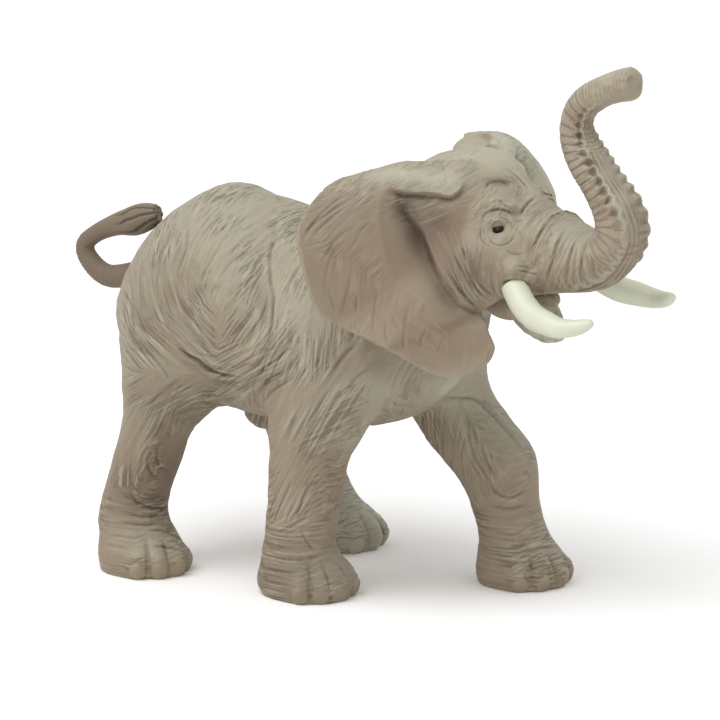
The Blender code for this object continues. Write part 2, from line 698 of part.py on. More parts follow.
def main():
    """Model the figure and set it on the ground with its middle on the Z axis."""
    for existing in list(bpy.data.objects):
        bpy.data.objects.remove(existing, do_unlink=True)

    stand = bpy.data.objects.new("figure", None)
    bpy.context.scene.collection.objects.link(stand)
    hide = make_material("hide", SKIN_COLOUR, 0.6)
    ivory = make_material("ivory", IVORY_COLOUR, 0.4)
    eye_gloss = make_material("eye_gloss", EYE_COLOUR, 0.08)

    skin = make_skin(stand)
    middle, normal = neck_frame()[::2]
    upward = Vector((0, 0, 1))
    forward = Vector((1, 0, 0))
    trunk_peg_place = head_point(TRUNK_PEG_SHARES[0], 0, TRUNK_PEG_SHARES[1])

    pieces = []

    for name in LEG_SHARES:
        leg = make_object(name, lambda bm: add_leg_block(bm, name), stand, hide)
        combine(leg, skin, "INTERSECT")
        peg = make_object(name + "_peg", lambda bm: add_peg(bm, leg_peg(name), upward, PEG_RADIUS,
                                                            PEG_LENGTH), stand)
        combine(leg, peg, "UNION")
        pieces.append(leg)

    head = make_object("head", lambda bm: add_head_block(bm, 0), stand, hide)
    combine(head, skin, "INTERSECT")
    combine(head, make_object("trunk_room", lambda bm: add_trunk_block(bm, SEAM_GAP), stand),
            "DIFFERENCE")
    trunk_socket = make_object(
        "trunk_socket", lambda bm: add_peg(bm, trunk_peg_place, forward, PEG_RADIUS + SEAM_GAP,
                                           PEG_LENGTH + SEAM_GAP), stand)
    combine(head, trunk_socket, "DIFFERENCE")
    for side, word in ((-1, "right"), (1, "left")):
        combine(head, as_socket(make_ear(f"{word}_ear_slot", side, stand)), "DIFFERENCE")
        for label, add in (("tusk", add_tusk), ("eye", add_eye)):
            hole = make_object(f"{word}_{label}_socket", lambda bm: add(bm, side), stand)
            combine(head, as_socket(hole), "DIFFERENCE")
    combine(head, as_socket(make_object("jaw_socket", add_jaw, stand)), "DIFFERENCE")
    neck_peg = make_object("neck_peg", lambda bm: add_peg(bm, middle, normal, NECK_PEG_RADIUS,
                                                          PEG_LENGTH), stand)
    combine(head, neck_peg, "UNION")
    pieces.append(head)

    trunk = make_object("trunk", lambda bm: add_trunk_block(bm, 0), stand, hide)
    combine(trunk, skin, "INTERSECT")
    trunk_peg = make_object(
        "trunk_peg", lambda bm: add_peg(bm, trunk_peg_place, forward, PEG_RADIUS, PEG_LENGTH), stand)
    combine(trunk, trunk_peg, "UNION")
    pieces.append(trunk)

    pieces.append(make_torso(skin, stand, hide))
    pieces.append(make_object("lower_jaw", add_jaw, stand, hide))
    pieces.append(make_object("tail", add_tail, stand, hide))
    for side, word in ((-1, "right"), (1, "left")):
        pieces.append(make_ear(f"{word}_ear", side, stand, hide))
        for label, add, paint in (("tusk", add_tusk, ivory), ("eye", add_eye, eye_gloss)):
            pieces.append(make_object(f"{word}_{label}", lambda bm: add(bm, side), stand, paint))

    centre_on_axis(stand, pieces)


def make_torso(skin, stand, material):
    """The torso: the skin behind the neck and above the legs, with its sockets."""
    def block(bm):
        add_box(bm, (-OVERRUN, -OVERRUN, 0), (OVERRUN * 2, OVERRUN, OVERRUN * 2))

    def leg_room(bm):
        for side in (-1, 1):
            low_y, high_y = sorted((side * (CROTCH_WIDTH / 2 - SEAM_GAP), side * OVERRUN))
            add_box(bm, (-OVERRUN, low_y, -OVERRUN), (OVERRUN * 2, high_y, LEG_SEAM + SEAM_GAP))

    def sockets(bm):
        for name in LEG_SHARES:
            add_peg(bm, leg_peg(name), Vector((0, 0, 1)), PEG_RADIUS + SEAM_GAP,
                    PEG_LENGTH + SEAM_GAP)
        middle, normal = neck_frame()[::2]
        add_peg(bm, middle, normal, NECK_PEG_RADIUS + SEAM_GAP, PEG_LENGTH + SEAM_GAP)

    torso = make_object("torso", block, stand, material)
    combine(torso, skin, "INTERSECT")
    for name, build in (("head_room", lambda bm: add_head_block(bm, SEAM_GAP)),
                        ("leg_room", leg_room), ("peg_sockets", sockets)):
        combine(torso, make_object(name, build, stand), "DIFFERENCE")
    combine(torso, as_socket(make_object("tail_socket", add_tail, stand)), "DIFFERENCE")
    return torso


def centre_on_axis(stand, pieces):
    """Slide the figure so that the middle of its box lies on the Z axis."""
    graph = bpy.context.evaluated_depsgraph_get()
    graph.update()
    corners = []
    for piece in pieces:
        made = piece.evaluated_get(graph)
        corners += [made.matrix_world @ vert.co for vert in made.data.vertices]
    for axis in (0, 1):
        values = [corner[axis] for corner in corners]
        stand.location[axis] = -(min(values) + max(values)) / 2
    bpy.context.view_layer.update()


main()
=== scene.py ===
"""Looks of the soft-plastic toy elephant, built around its packed castings.

The castings' rough solids are melted into one hide, which is then worked as a modeller works
clay: soft forms first, then folds and creases, then the fine grain of the skin. The painted finish
follows the relief, with a dark wash in the hollows and a pale dry brush on the ridges. Painted
light and shade go into the same coats: tops are paler and greyer, some places are painted darker
where shade falls and others paler where light falls. At the end the hide is parted into closed
pieces along the castings' own borders.
"""
import logging
import math
from dataclasses import dataclass, field
from enum import Enum

import bmesh
import bpy
import numpy as np
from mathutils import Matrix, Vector


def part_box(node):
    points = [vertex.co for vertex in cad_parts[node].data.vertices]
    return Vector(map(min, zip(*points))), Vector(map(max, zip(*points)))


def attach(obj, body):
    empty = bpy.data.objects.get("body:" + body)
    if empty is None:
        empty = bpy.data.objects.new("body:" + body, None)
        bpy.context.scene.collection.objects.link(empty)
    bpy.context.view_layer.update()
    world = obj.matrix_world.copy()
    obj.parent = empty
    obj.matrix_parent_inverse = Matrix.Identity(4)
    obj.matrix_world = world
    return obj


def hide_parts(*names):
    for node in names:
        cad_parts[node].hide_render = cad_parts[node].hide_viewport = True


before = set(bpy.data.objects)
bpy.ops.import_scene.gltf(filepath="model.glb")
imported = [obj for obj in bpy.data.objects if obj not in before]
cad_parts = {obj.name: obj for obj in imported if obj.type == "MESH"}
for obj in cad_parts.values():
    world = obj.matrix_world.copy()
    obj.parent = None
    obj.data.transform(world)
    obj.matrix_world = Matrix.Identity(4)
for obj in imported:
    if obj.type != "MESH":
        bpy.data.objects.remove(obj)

LOG = logging.getLogger("toy_elephant")
MM = 0.001
BODY = "root"
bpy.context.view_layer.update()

Points = np.ndarray
Field = np.ndarray


class Casting(Enum):
    """The castings whose surface is the hide, by the name of their node."""

    TORSO = "torso"
    FRONT_LEFT_LEG = "front_left_leg"
    FRONT_RIGHT_LEG = "front_right_leg"
    HIND_LEFT_LEG = "hind_left_leg"
    HIND_RIGHT_LEG = "hind_right_leg"
    HEAD = "head"
    TRUNK = "trunk"
    LEFT_EAR = "left_ear"
    RIGHT_EAR = "right_ear"
    TAIL = "tail"


LEGS = (Casting.FRONT_LEFT_LEG, Casting.FRONT_RIGHT_LEG, Casting.HIND_LEFT_LEG,
        Casting.HIND_RIGHT_LEG)
EARS = (Casting.LEFT_EAR, Casting.RIGHT_EAR)
BODY_CASTINGS = (Casting.TORSO,) + LEGS


def eased(values: Field, low: float, high: float) -> Field:
    """Ease from 0 at the low value to 1 at the high one, with flat ends."""
    share = np.clip((values - low) / (high - low), 0.0, 1.0)
    return share * share * (3.0 - 2.0 * share)


def bell(values: Field, width: float) -> Field:
    """A bell curve that is 1 at nought and falls off over the width."""
    return np.exp(-(values / width) ** 2)


def normalized(vectors: Points) -> Points:
    """Vectors of length one, by dividing each row by its length."""
    return vectors / np.maximum(np.linalg.norm(vectors, axis=-1, keepdims=True), 1e-9)


def flowing(points: Points, steps: int = 8) -> Points:
    """Resample a row of points on the smooth cubic through them.

    Args:
        points: the row's own points, in any number of dimensions.
        steps: how many new points each interval gets.

    Returns:
        The points of the Catmull-Rom cubic, ends included.
    """
    rows = np.asarray(points, float)
    padded = np.vstack([2 * rows[0] - rows[1], rows, 2 * rows[-1] - rows[-2]])
    share = (np.arange(steps) / steps)[None, :, None]
    before, start, end, after = (padded[i:len(rows) - 1 + i, None, :] for i in range(4))
    curve = 0.5 * (2 * start + (end - before) * share
                   + (2 * before - 5 * start + 4 * end - after) * share ** 2
                   + (3 * start - before - 3 * end + after) * share ** 3)
    return np.vstack([curve.reshape(-1, rows.shape[1]), rows[-1]])


@dataclass(frozen=True)
class PhotoView:
    """The photograph's viewpoint. It frames the figure and places what was read off the picture."""

    azimuth_deg: float = 37.0
    elevation_deg: float = 14.0
    pixels_per_mm: float = 4.1
    frame_px: float = 720.0
    aim_mm: tuple[float, float, float] = (0.55, 0.0, 54.9)
    distance_mm: float = 6000.0
    sensor_mm: float = 36.0

    def axes(self) -> tuple[Points, Points, Points]:
        """The view's own directions, from its turn and its rise above level.

        Returns:
            Unit vectors to the right, up and back towards the camera.
        """
        turn, rise = math.radians(self.azimuth_deg), math.radians(self.elevation_deg)
        right = np.array([math.cos(turn), math.sin(turn), 0.0])
        back = np.array([math.sin(turn) * math.cos(rise), -math.cos(turn) * math.cos(rise),
                         math.sin(rise)])
        return right, np.cross(back, right), back

    def project(self, points: Points) -> Points:
        """Where points of the figure fall in the picture.

        Args:
            points: rows of x, y, z in millimetres.

        Returns:
            Rows of pixels to the right and down, from the picture's upper left corner. Each is the
            distance aside from the aim, times the scale, made larger for what is nearer.
        """
        right, upward, back = self.axes()
        offset = points - np.array(self.aim_mm)
        nearer = self.distance_mm / (self.distance_mm - offset @ back)
        middle = self.frame_px / 2
        return np.stack([middle + self.pixels_per_mm * nearer * (offset @ right),
                         middle - self.pixels_per_mm * nearer * (offset @ upward)], axis=1)

    def place_camera(self) -> None:
        """Make the scene's camera, a long lens that frames the picture."""
        data = bpy.data.cameras.new("long_lens")
        data.sensor_width = self.sensor_mm
        data.lens = self.sensor_mm * self.pixels_per_mm * self.distance_mm / self.frame_px
        data.clip_end = 2 * self.distance_mm * MM
        camera = bpy.data.objects.new("long_lens", data)
        bpy.context.scene.collection.objects.link(camera)
        back = self.axes()[2]
        camera.location = Vector((np.array(self.aim_mm) + back * self.distance_mm) * MM)
        camera.rotation_mode = "QUATERNION"
        camera.rotation_quaternion = Vector(back).to_track_quat("Z", "Y")
        bpy.context.scene.camera = camera


VIEW = PhotoView()
SIDES = (-1, 1)


@dataclass
class Noise:
    """Smooth random relief in space, that repeats after a whole table.

    The table holds white noise blurred by a bell curve two cells wide, with a spread of one.
    """

    seed: int
    cells: int = 128
    blur_cells: float = 2.0
    table: Field = field(init=False)

    def __post_init__(self) -> None:
        """Blur the white noise with a product in the frequency domain."""
        white = np.random.default_rng(self.seed).standard_normal((self.cells,) * 3)
        frequency = np.fft.fftfreq(self.cells)
        squares = (frequency[:, None, None] ** 2 + frequency[:, None] ** 2
                   + frequency[:self.cells // 2 + 1] ** 2)
        blur = np.exp(-2 * (math.pi * self.blur_cells) ** 2 * squares)
        smooth = np.fft.irfftn(np.fft.rfftn(white) * blur, s=white.shape)
        self.table = (smooth / smooth.std()).astype(np.float32)

    def at(self, points: Points, grain_mm: float) -> Field:
        """The noise in the cell nearest to each point.

        Args:
            points: rows of x, y, z in millimetres.
            grain_mm: the blur's width, so the size of one swelling is about five times this.

        Returns:
            One number for each point, with a spread of about one.
        """
        index = np.rint(points * (self.blur_cells / grain_mm)).astype(np.int32) % self.cells
        flat = (index[:, 0] * self.cells + index[:, 1]) * self.cells + index[:, 2]
        return self.table.reshape(-1)[flat]


class Clay:
    """A closed surface as arrays, in millimetres, with the moves that shape it."""

    def __init__(self, mesh: bpy.types.Mesh) -> None:
        """Read points, edges and triangles, and list each point's neighbours.

        Args:
            mesh: the closed mesh, in metres.
        """
        self.points = np.empty(len(mesh.vertices) * 3)
        mesh.vertices.foreach_get("co", self.points)
        self.points = self.points.reshape(-1, 3) / MM
        edges = np.empty(len(mesh.edges) * 2, np.int32)
        mesh.edges.foreach_get("vertices", edges)
        self.edges = edges.reshape(-1, 2)
        mesh.calc_loop_triangles()
        corners = np.empty(len(mesh.loop_triangles) * 3, np.int32)
        mesh.loop_triangles.foreach_get("vertices", corners)
        self.triangles = corners.reshape(-1, 3)
        both = np.concatenate([self.edges, self.edges[:, ::-1]])
        self.neighbours = both[np.argsort(both[:, 0], kind="stable"), 1]
        self.valence = np.bincount(both[:, 0], minlength=len(self.points))
        self.starts = np.concatenate([[0], np.cumsum(self.valence)[:-1]])
        self.normals = self.find_normals()

    def mean(self, values: Field) -> Field:
        """The mean of the neighbours' values at each point."""
        total = np.add.reduceat(values[self.neighbours], self.starts, axis=0)
        return total / (self.valence if values.ndim == 1 else self.valence[:, None])

    def spread(self, values: Field, rounds: int) -> Field:
        """Average each value with its neighbours' mean, a number of times.

        Args:
            values: one row for each point.
            rounds: how many times.

        Returns:
            The smoothed values.
        """
        for _ in range(rounds):
            values = 0.5 * (values + self.mean(values))
        return values

    def relax(self, rounds: int) -> None:
        """Smooth the points without shrinking them, by moves inwards and a little more outwards.

        Args:
            rounds: how many times the two moves are made.
        """
        for _ in range(rounds):
            for share in (0.55, -0.57):
                self.points += share * (self.mean(self.points) - self.points)
        self.normals = self.find_normals()

    def flatten(self, rounds: int, where: Field) -> None:
        """Wear the surface down to its neighbours' mean.

        Args:
            rounds: how many times.
            where: how far each point follows, from 0 to 1.
        """
        chosen = np.flatnonzero(where > 0.01)
        counts = self.valence[chosen]
        starts = np.concatenate([[0], np.cumsum(counts)[:-1]])
        take = np.repeat(self.starts[chosen] - starts, counts) + np.arange(counts.sum())
        near = self.neighbours[take]
        share = 0.6 * where[chosen, None]
        for _ in range(rounds):
            mean = np.add.reduceat(self.points[near], starts, axis=0) / counts[:, None]
            self.points[chosen] += share * (mean - self.points[chosen])
        self.normals = self.find_normals()

    def find_normals(self) -> Points:
        """Each point's normal: the crossed sides of its triangles, added up.

        Returns:
            A unit vector for each point.
        """
        a, b, c = (self.points[self.triangles[:, corner]] for corner in range(3))
        crossed = np.cross(b - a, c - a)
        total = np.zeros_like(self.points)
        for corner in range(3):
            for axis in range(3):
                total[:, axis] += np.bincount(self.triangles[:, corner], crossed[:, axis],
                                              len(self.points))
        return normalized(total)

    def push(self, heights: Field) -> None:
        """Move each point along its normal by its height in millimetres."""
        self.points += self.normals * heights[:, None]
        self.normals = self.find_normals()

    def hollow(self, rounds: int) -> Field:
        """How far each point lies below the mean of the surface round it, in millimetres."""
        mean = self.spread(self.points, rounds)
        return np.einsum("ij,ij->i", mean - self.points, self.normals)


def melted(source: bpy.types.Mesh, grain_mm: float) -> bpy.types.Mesh:
    """A mesh built again from even cells, which joins all that overlaps.

    Args:
        source: the mesh to copy.
        grain_mm: the cells' width.

    Returns:
        The new mesh.
    """
    item = bpy.data.objects.new("melted", source.copy())
    bpy.context.scene.collection.objects.link(item)
    remesh = item.modifiers.new("melt", "REMESH")
    remesh.mode = "VOXEL"
    remesh.voxel_size = grain_mm * MM
    graph = bpy.context.evaluated_depsgraph_get()
    mesh = bpy.data.meshes.new_from_object(item.evaluated_get(graph))
    bpy.data.objects.remove(item)
    return mesh


def store(mesh: bpy.types.Mesh, layer: str, rows: Points) -> None:
    """Give each point of a mesh up to four numbers that materials read as a colour.

    Args:
        mesh: the mesh.
        layer: the attribute's name.
        rows: the numbers, one row for each point.
    """
    padded = np.zeros((len(mesh.vertices), 4), np.float32)
    padded[:len(rows), :rows.shape[1]] = rows
    attribute = mesh.attributes.new(layer, "FLOAT_COLOR", "POINT")
    attribute.data.foreach_set("color", padded.ravel())


Line = tuple[tuple[float, float], ...]


@dataclass(frozen=True)
class Crease:
    """A fold pressed or raised along a line read off the photograph."""

    line_px: Line
    depth_mm: float = 0.4
    width_mm: float = 0.55
    lip: float = 0.35


@dataclass(frozen=True)
class Ledge:
    """A line along which one form stands above another. The high side lies left of the line."""

    line_px: Line
    high_mm: float
    low_mm: float
    reach_mm: float
    rise_mm: float
    edge_mm: float = 0.35


@dataclass(frozen=True)
class Patch:
    """An oval in the photograph, turned from level, with a height or a strength."""

    centre_px: tuple[float, float]
    radii_px: tuple[float, float]
    amount: float
    turn_deg: float = 0.0


@dataclass(frozen=True)
class Dent:
    """A place that is pressed in or raised, on both sides of the figure or on one."""

    centre_mm: tuple[float, float, float]
    radii_mm: tuple[float, float, float]
    height_mm: float
    both_sides: bool = True

    def heights(self, points: Points) -> Field:
        """A bell in space round the centre, and round its mirror image where that is wanted.

        Args:
            points: rows of x, y, z in millimetres.

        Returns:
            The height at each point.
        """
        place = points.copy()
        if self.both_sides:
            place[:, 1] = np.abs(place[:, 1])
        offset = (place - self.centre_mm) / self.radii_mm
        return self.height_mm * np.exp(-(offset ** 2).sum(axis=1))


@dataclass(frozen=True)
class Filler:
    """A ball of clay that closes a gap between castings, drawn out to an egg."""

    casting: Casting
    centre_mm: tuple[float, float, float]
    radii_mm: tuple[float, float, float]


@dataclass
class Side:
    """The hide as the photograph sees it from one side, the far one through a mirror."""

    clay: Clay
    mirrored: bool
    flip: Field = field(init=False)
    pixels: Points = field(init=False)
    facing: Field = field(init=False)

    def __post_init__(self) -> None:
        """Project the points and see which of them face the view."""
        self.flip = np.array([1.0, -1.0 if self.mirrored else 1.0, 1.0])
        self.pixels = VIEW.project(self.clay.points * self.flip)
        toward = (self.clay.normals * self.flip) @ VIEW.axes()[2]
        self.facing = eased(toward, 0.02, 0.30)

    def near_line(self, line_px: Line, reach_mm: float) -> tuple[Field, Field, Field]:
        """Which points lie near a line in the picture.

        Args:
            line_px: the line's own points.
            reach_mm: how far aside of it a point may be.

        Returns:
            The points' numbers, how far each is aside in millimetres (less than 0 to the line's
            left), and how far along it is as a share of the line.
        """
        line = flowing(line_px, 6)
        reach = reach_mm * VIEW.pixels_per_mm
        inside = np.all((self.pixels > line.min(0) - reach) & (self.pixels < line.max(0) + reach),
                        axis=1) & (self.facing > 0)
        chosen = np.flatnonzero(inside)
        start, span = line[:-1], np.diff(line, axis=0)
        lengths = np.linalg.norm(span, axis=1)
        offset = self.pixels[chosen, None, :] - start[None]
        share = np.clip(np.einsum("ijk,jk->ij", offset, span) / lengths ** 2, 0, 1)
        gap = np.linalg.norm(offset - share[:, :, None] * span, axis=2)
        best = gap.argmin(axis=1)
        rows = np.arange(len(chosen))
        turned = span[best, 0] * offset[rows, best, 1] - span[best, 1] * offset[rows, best, 0]
        travelled = np.concatenate([[0], np.cumsum(lengths)])
        along = (travelled[best] + share[rows, best] * lengths[best]) / travelled[-1]
        aside = gap[rows, best] * np.where(turned < 0, -1, 1) / VIEW.pixels_per_mm
        return chosen, aside, along

    def crease_heights(self, creases: tuple[Crease, ...]) -> Field:
        """Relief of the creases: a bell-shaped dip that fades at both ends, between raised lips.

        Args:
            creases: the folds to add up.

        Returns:
            The height at each point.
        """
        heights = np.zeros(len(self.clay.points))
        for crease in creases:
            chosen, aside, along = self.near_line(crease.line_px, 4.5 * crease.width_mm)
            share = np.abs(aside) / crease.width_mm
            fade = np.clip(np.sin(math.pi * np.clip(along, 0.02, 0.98)) * 1.5, 0, 1)
            profile = -bell(share, 1.0) + crease.lip * bell(share - 2.0, 1.0)
            heights[chosen] += crease.depth_mm * profile * fade * self.facing[chosen] ** 2
        return heights

    def ledge_heights(self, ledges: tuple[Ledge, ...]) -> Field:
        """Relief of the ledges: raised on the left and sunk on the right, less further away.

        Args:
            ledges: the steps to add up.

        Returns:
            The height at each point.
        """
        heights = np.zeros(len(self.clay.points))
        for ledge in ledges:
            reach = 2.2 * max(ledge.reach_mm, ledge.rise_mm)
            chosen, aside, along = self.near_line(ledge.line_px, reach)
            fade = np.clip(np.sin(math.pi * along) * 2.2, 0, 1)
            left = 0.5 - 0.5 * np.tanh(aside / ledge.edge_mm)
            rise = ledge.high_mm * left * bell(aside, ledge.rise_mm)
            fall = ledge.low_mm * (1 - left) * bell(aside, ledge.reach_mm)
            heights[chosen] += (rise - fall) * fade * self.facing[chosen]
        return heights

    def patches(self, patches: tuple[Patch, ...]) -> Field:
        """The sum of the patches' amounts, each a bell over its oval.

        Args:
            patches: the ovals to add up.

        Returns:
            The amount at each point.
        """
        total = np.zeros(len(self.clay.points))
        for patch in patches:
            turn = math.radians(patch.turn_deg)
            offset = self.pixels - np.array(patch.centre_px)
            along = offset[:, 0] * math.cos(turn) - offset[:, 1] * math.sin(turn)
            across = offset[:, 0] * math.sin(turn) + offset[:, 1] * math.cos(turn)
            square = (along / patch.radii_px[0]) ** 2 + (across / patch.radii_px[1]) ** 2
            total += patch.amount * np.exp(-square) * self.facing
        return total

    def flow(self, anchors: tuple[tuple[float, float, float], ...], reach_px: float) -> Points:
        """The direction of the skin's folds, from the anchors nearest in the photograph.

        An anchor is a place in pixels and an angle from level. Angles are doubled before they are
        averaged, because a fold has no front end. The mean is then laid into the surface.

        Args:
            anchors: rows of right, down and degrees.
            reach_px: how far an anchor's say extends.

        Returns:
            A unit vector in the surface for each point, without a meaning to its sign.
        """
        table = np.array(anchors)
        doubled = np.radians(table[:, 2]) * 2
        cosine = np.zeros(len(self.pixels))
        sine = np.zeros(len(self.pixels))
        for (u, v), angle in zip(table[:, :2], doubled):
            square = ((self.pixels - (u, v)) ** 2).sum(axis=1) / reach_px ** 2
            weight = np.exp(-square / 2) + 1e-4 / (1 + square)
            cosine += weight * math.cos(angle)
            sine += weight * math.sin(angle)
        angle = np.arctan2(sine, cosine) / 2
        right, upward, back = VIEW.axes()
        flat = np.cos(angle)[:, None] * right + np.sin(angle)[:, None] * upward
        normals = self.clay.normals * self.flip
        toward = np.maximum(normals @ back, 0.15)
        laid = flat - ((flat * normals).sum(axis=1) / toward)[:, None] * back
        return normalized(laid * self.flip)


@dataclass
class Limb:
    """A path in the upright middle plane, with the places of the points round it."""

    root_mm: tuple[float, float, float]
    rows_mm: Points
    steps: int = 8
    line: Points = field(init=False)
    travelled: Field = field(init=False)

    def __post_init__(self) -> None:
        """Draw the path smooth and measure it."""
        self.line = flowing(self.rows_mm, self.steps) + np.array(self.root_mm)[[0, 2]]
        steps = np.linalg.norm(np.diff(self.line, axis=0), axis=1)
        self.travelled = np.concatenate([[0], np.cumsum(steps)])

    def places(self, points: Points) -> tuple[Field, Field, Field]:
        """Where points lie along and round the path.

        Args:
            points: rows of x, y, z in millimetres.

        Returns:
            How far along each is in rows and in millimetres, and its angle round the path in
            degrees from the upper side, alike on both sides.
        """
        start, span = self.line[:-1], np.diff(self.line, axis=0)
        flat = points[:, [0, 2]]
        offset = flat[:, None, :] - start[None]
        share = np.clip(np.einsum("ijk,jk->ij", offset, span) / (span ** 2).sum(1), 0, 1)
        gap = ((offset - share[:, :, None] * span) ** 2).sum(axis=2)
        best = gap.argmin(axis=1)
        pick = np.arange(len(points))
        share = share[pick, best]
        ahead = normalized(span)[best]
        rise = (offset[pick, best] * np.stack([-ahead[:, 1], ahead[:, 0]], axis=1)).sum(axis=1)
        angle = np.degrees(np.arctan2(np.abs(points[:, 1]), rise))
        along = self.travelled[best] + share * np.diff(self.travelled)[best]
        return (best + share) / self.steps, along, angle


TRUNK = Limb((57.57, 0.0, 92.0), np.array([
    (0.0, 0.011), (0.182, -0.022), (0.425, -0.040), (0.618, -0.013), (0.749, 0.058),
    (0.815, 0.160), (0.771, 0.256), (0.684, 0.331), (0.582, 0.409), (0.480, 0.491),
    (0.396, 0.578), (0.356, 0.669), (0.371, 0.760), (0.465, 0.853), (0.680, 0.933),
    (0.873, 0.978), (1.0, 1.0)]) * (27.5, 45.0))
TAIL = Limb((-64.4, 0.0, 68.03), np.array([
    (-0.25, 0.075), (0.315, -0.115), (0.65, -0.165), (0.9, -0.02), (0.985, 0.17),
    (0.79, 0.35), (0.48, 0.5), (0.165, 0.59), (-0.03, 0.67), (-0.19, 0.75)]) * (-20.0, 20.0))

BODY_FLOW = (
    (206, 205, 50), (238, 205, 37), (270, 205, 30), (294, 221, 40), (183, 237, 72),
    (159, 264, 79), (141, 286, 97), (132, 297, 100), (164, 297, 110), (189, 315, 127),
    (199, 337, 130), (148, 353, 129), (167, 353, 134), (197, 361, 149), (230, 375, 176),
    (230, 277, 57), (215, 248, 57), (230, 241, 45), (254, 229, 38), (254, 261, 46),
    (254, 277, 60), (254, 316, 54), (259, 328, 64), (238, 340, 43), (238, 361, 38),
    (270, 277, 86), (270, 300, 83), (270, 331, 72), (291, 277, 60), (286, 316, 58),
    (278, 356, 48), (302, 356, 80), (318, 348, 88), (275, 377, 46), (191, 388, 42),
    (215, 387, 8), (151, 388, 37), (331, 335, 88), (338, 387, 56), (355, 361, 48),
    (373, 387, 62), (399, 369, 60), (442, 387, 53), (467, 378, 50), (304, 395, 68),
    (278, 404, 68), (287, 435, 60), (318, 435, 48), (338, 430, 50), (459, 421, 105),
    (485, 421, 130), (130, 430, 70), (160, 440, 60), (120, 470, 75), (140, 470, 85),
    (160, 470, 30), (135, 500, 150), (160, 512, 5), (125, 525, 5), (125, 550, 10),
    (280, 470, 60), (310, 470, 50), (335, 470, 40), (280, 505, 65), (310, 510, 60),
    (290, 540, 10), (320, 545, 5), (290, 575, 15), (430, 440, 100), (455, 450, 95),
    (500, 440, 128), (480, 480, 115), (505, 495, 60), (500, 512, 160), (510, 530, 8),
    (515, 555, 12), (345, 500, 60), (350, 530, 120),
)
HEAD_FLOW = (
    (527, 179, 127), (498, 202, 60), (531, 202, 60), (458, 256, 104), (439, 256, 110),
    (476, 300, 130), (446, 223, 170), (549, 237, 65), (520, 215, 70), (470, 150, 10),
    (500, 170, 150), (455, 180, 20), (430, 290, 110), (500, 262, 60), (530, 262, 75),
    (560, 262, 70), (590, 262, 60), (475, 270, 100), (412, 175, 12),
)
EAR_FLOW = (
    (321, 214, 47), (311, 240, 60), (347, 232, 58), (338, 283, 98), (364, 300, 97),
    (381, 335, 107), (407, 344, 112), (433, 344, 103), (459, 326, 100), (407, 292, 86),
    (381, 257, 72), (438, 283, 110), (476, 344, 78), (400, 190, 20), (360, 190, 30),
    (500, 150, 60), (530, 170, 75), (480, 140, 30),
)
FLOW_REACH_PX = 13.0
GRAIN_TURNS = 6

TORSO_FORMS = (
    Patch((229, 283), (25, 46), 0.6, -12),
    Patch((193, 305), (8, 24), -0.7, -20),
    Patch((264, 305), (7, 28), -0.6, 8),
    Patch((352, 372), (14, 26), -0.8, 20),
    Patch((214, 388), (22, 6), -0.6),
    Patch((168, 436), (12, 14), -1.2),
    Patch((143, 455), (8, 18), 0.5),
    Patch((505, 470), (12, 10), 0.7),
    Patch((490, 492), (10, 7), -0.6),
)
TORSO_CREASES = (
    Crease(((176, 345), (186, 354.7), (197, 361), (206.6, 369), (221, 375.5), (240, 376)), 0.60, 0.5),
    Crease(((205, 379), (221, 383), (238, 381), (255, 371)), 0.21, 0.64),
    Crease(((174, 290), (180, 301), (190.7, 318), (198.6, 328), (206, 348)), 0.21, 0.4),
    Crease(((182, 318), (189, 328), (198.6, 339), (211, 353)), 0.19, 0.4),
    Crease(((128, 330), (133, 340), (143, 353), (159, 372)), 0.17, 0.36),
    Crease(((142, 343), (151, 356), (164, 371), (172, 385)), 0.17, 0.36),
    Crease(((168, 240), (161, 254), (158, 270), (156, 285), (159, 300)), 0.19, 0.4),
    Crease(((189, 222), (187.5, 234), (186, 248), (181, 262), (176, 276)), 0.19, 0.4),
    Crease(((143, 262), (140.4, 277), (142, 296), (147, 312)), 0.17, 0.4),
    Crease(((199, 285), (206, 269), (213, 256), (223, 243)), 0.17, 0.36),
    Crease(((224, 258), (234, 249), (246, 239), (259, 231)), 0.14, 0.36),
    Crease(((216, 282), (226, 268), (238, 257), (250, 246)), 0.14, 0.36),
    Crease(((233, 300), (244, 285), (254, 274), (265, 266)), 0.14, 0.36),
    Crease(((286, 228), (275, 241), (270, 255), (269.6, 277), (271, 296), (270.4, 317)), 0.23, 0.48),
    Crease(((266, 340), (270.5, 326), (272, 308), (274, 290)), 0.28, 0.44),
    Crease(((248, 335), (257, 322), (264, 308), (268, 290)), 0.19, 0.36),
    Crease(((246, 300), (254, 284), (262, 272), (268, 258)), 0.17, 0.36),
    Crease(((259, 393), (269, 380), (286, 370.7), (295, 353)), 0.28, 0.48),
    Crease(((254, 383), (264, 367.5), (275, 361), (288, 348), (293, 334)), 0.26, 0.44),
    Crease(((250, 374), (258, 364), (268, 352), (279, 340)), 0.19, 0.4),
    Crease(((262, 405), (274, 390), (290, 380), (300, 366)), 0.19, 0.4),
    Crease(((281, 300), (287, 286), (295, 272), (304, 262)), 0.17, 0.36),
    Crease(((328, 376), (337, 364), (349, 350), (360, 343)), 0.28, 0.56),
    Crease(((318, 322), (317.7, 352), (314, 382)), 0.17, 0.4),
    Crease(((332, 320), (331, 345), (328, 372)), 0.17, 0.4),
    Crease(((345, 395), (356, 378), (371, 366)), 0.19, 0.48),
    Crease(((143, 410), (159, 395), (180, 379)), 0.19, 0.48),
    Crease(((433.7, 399), (455, 398), (476, 400), (494, 417), (517, 443), (525, 458)), 0.23, 0.56),
)
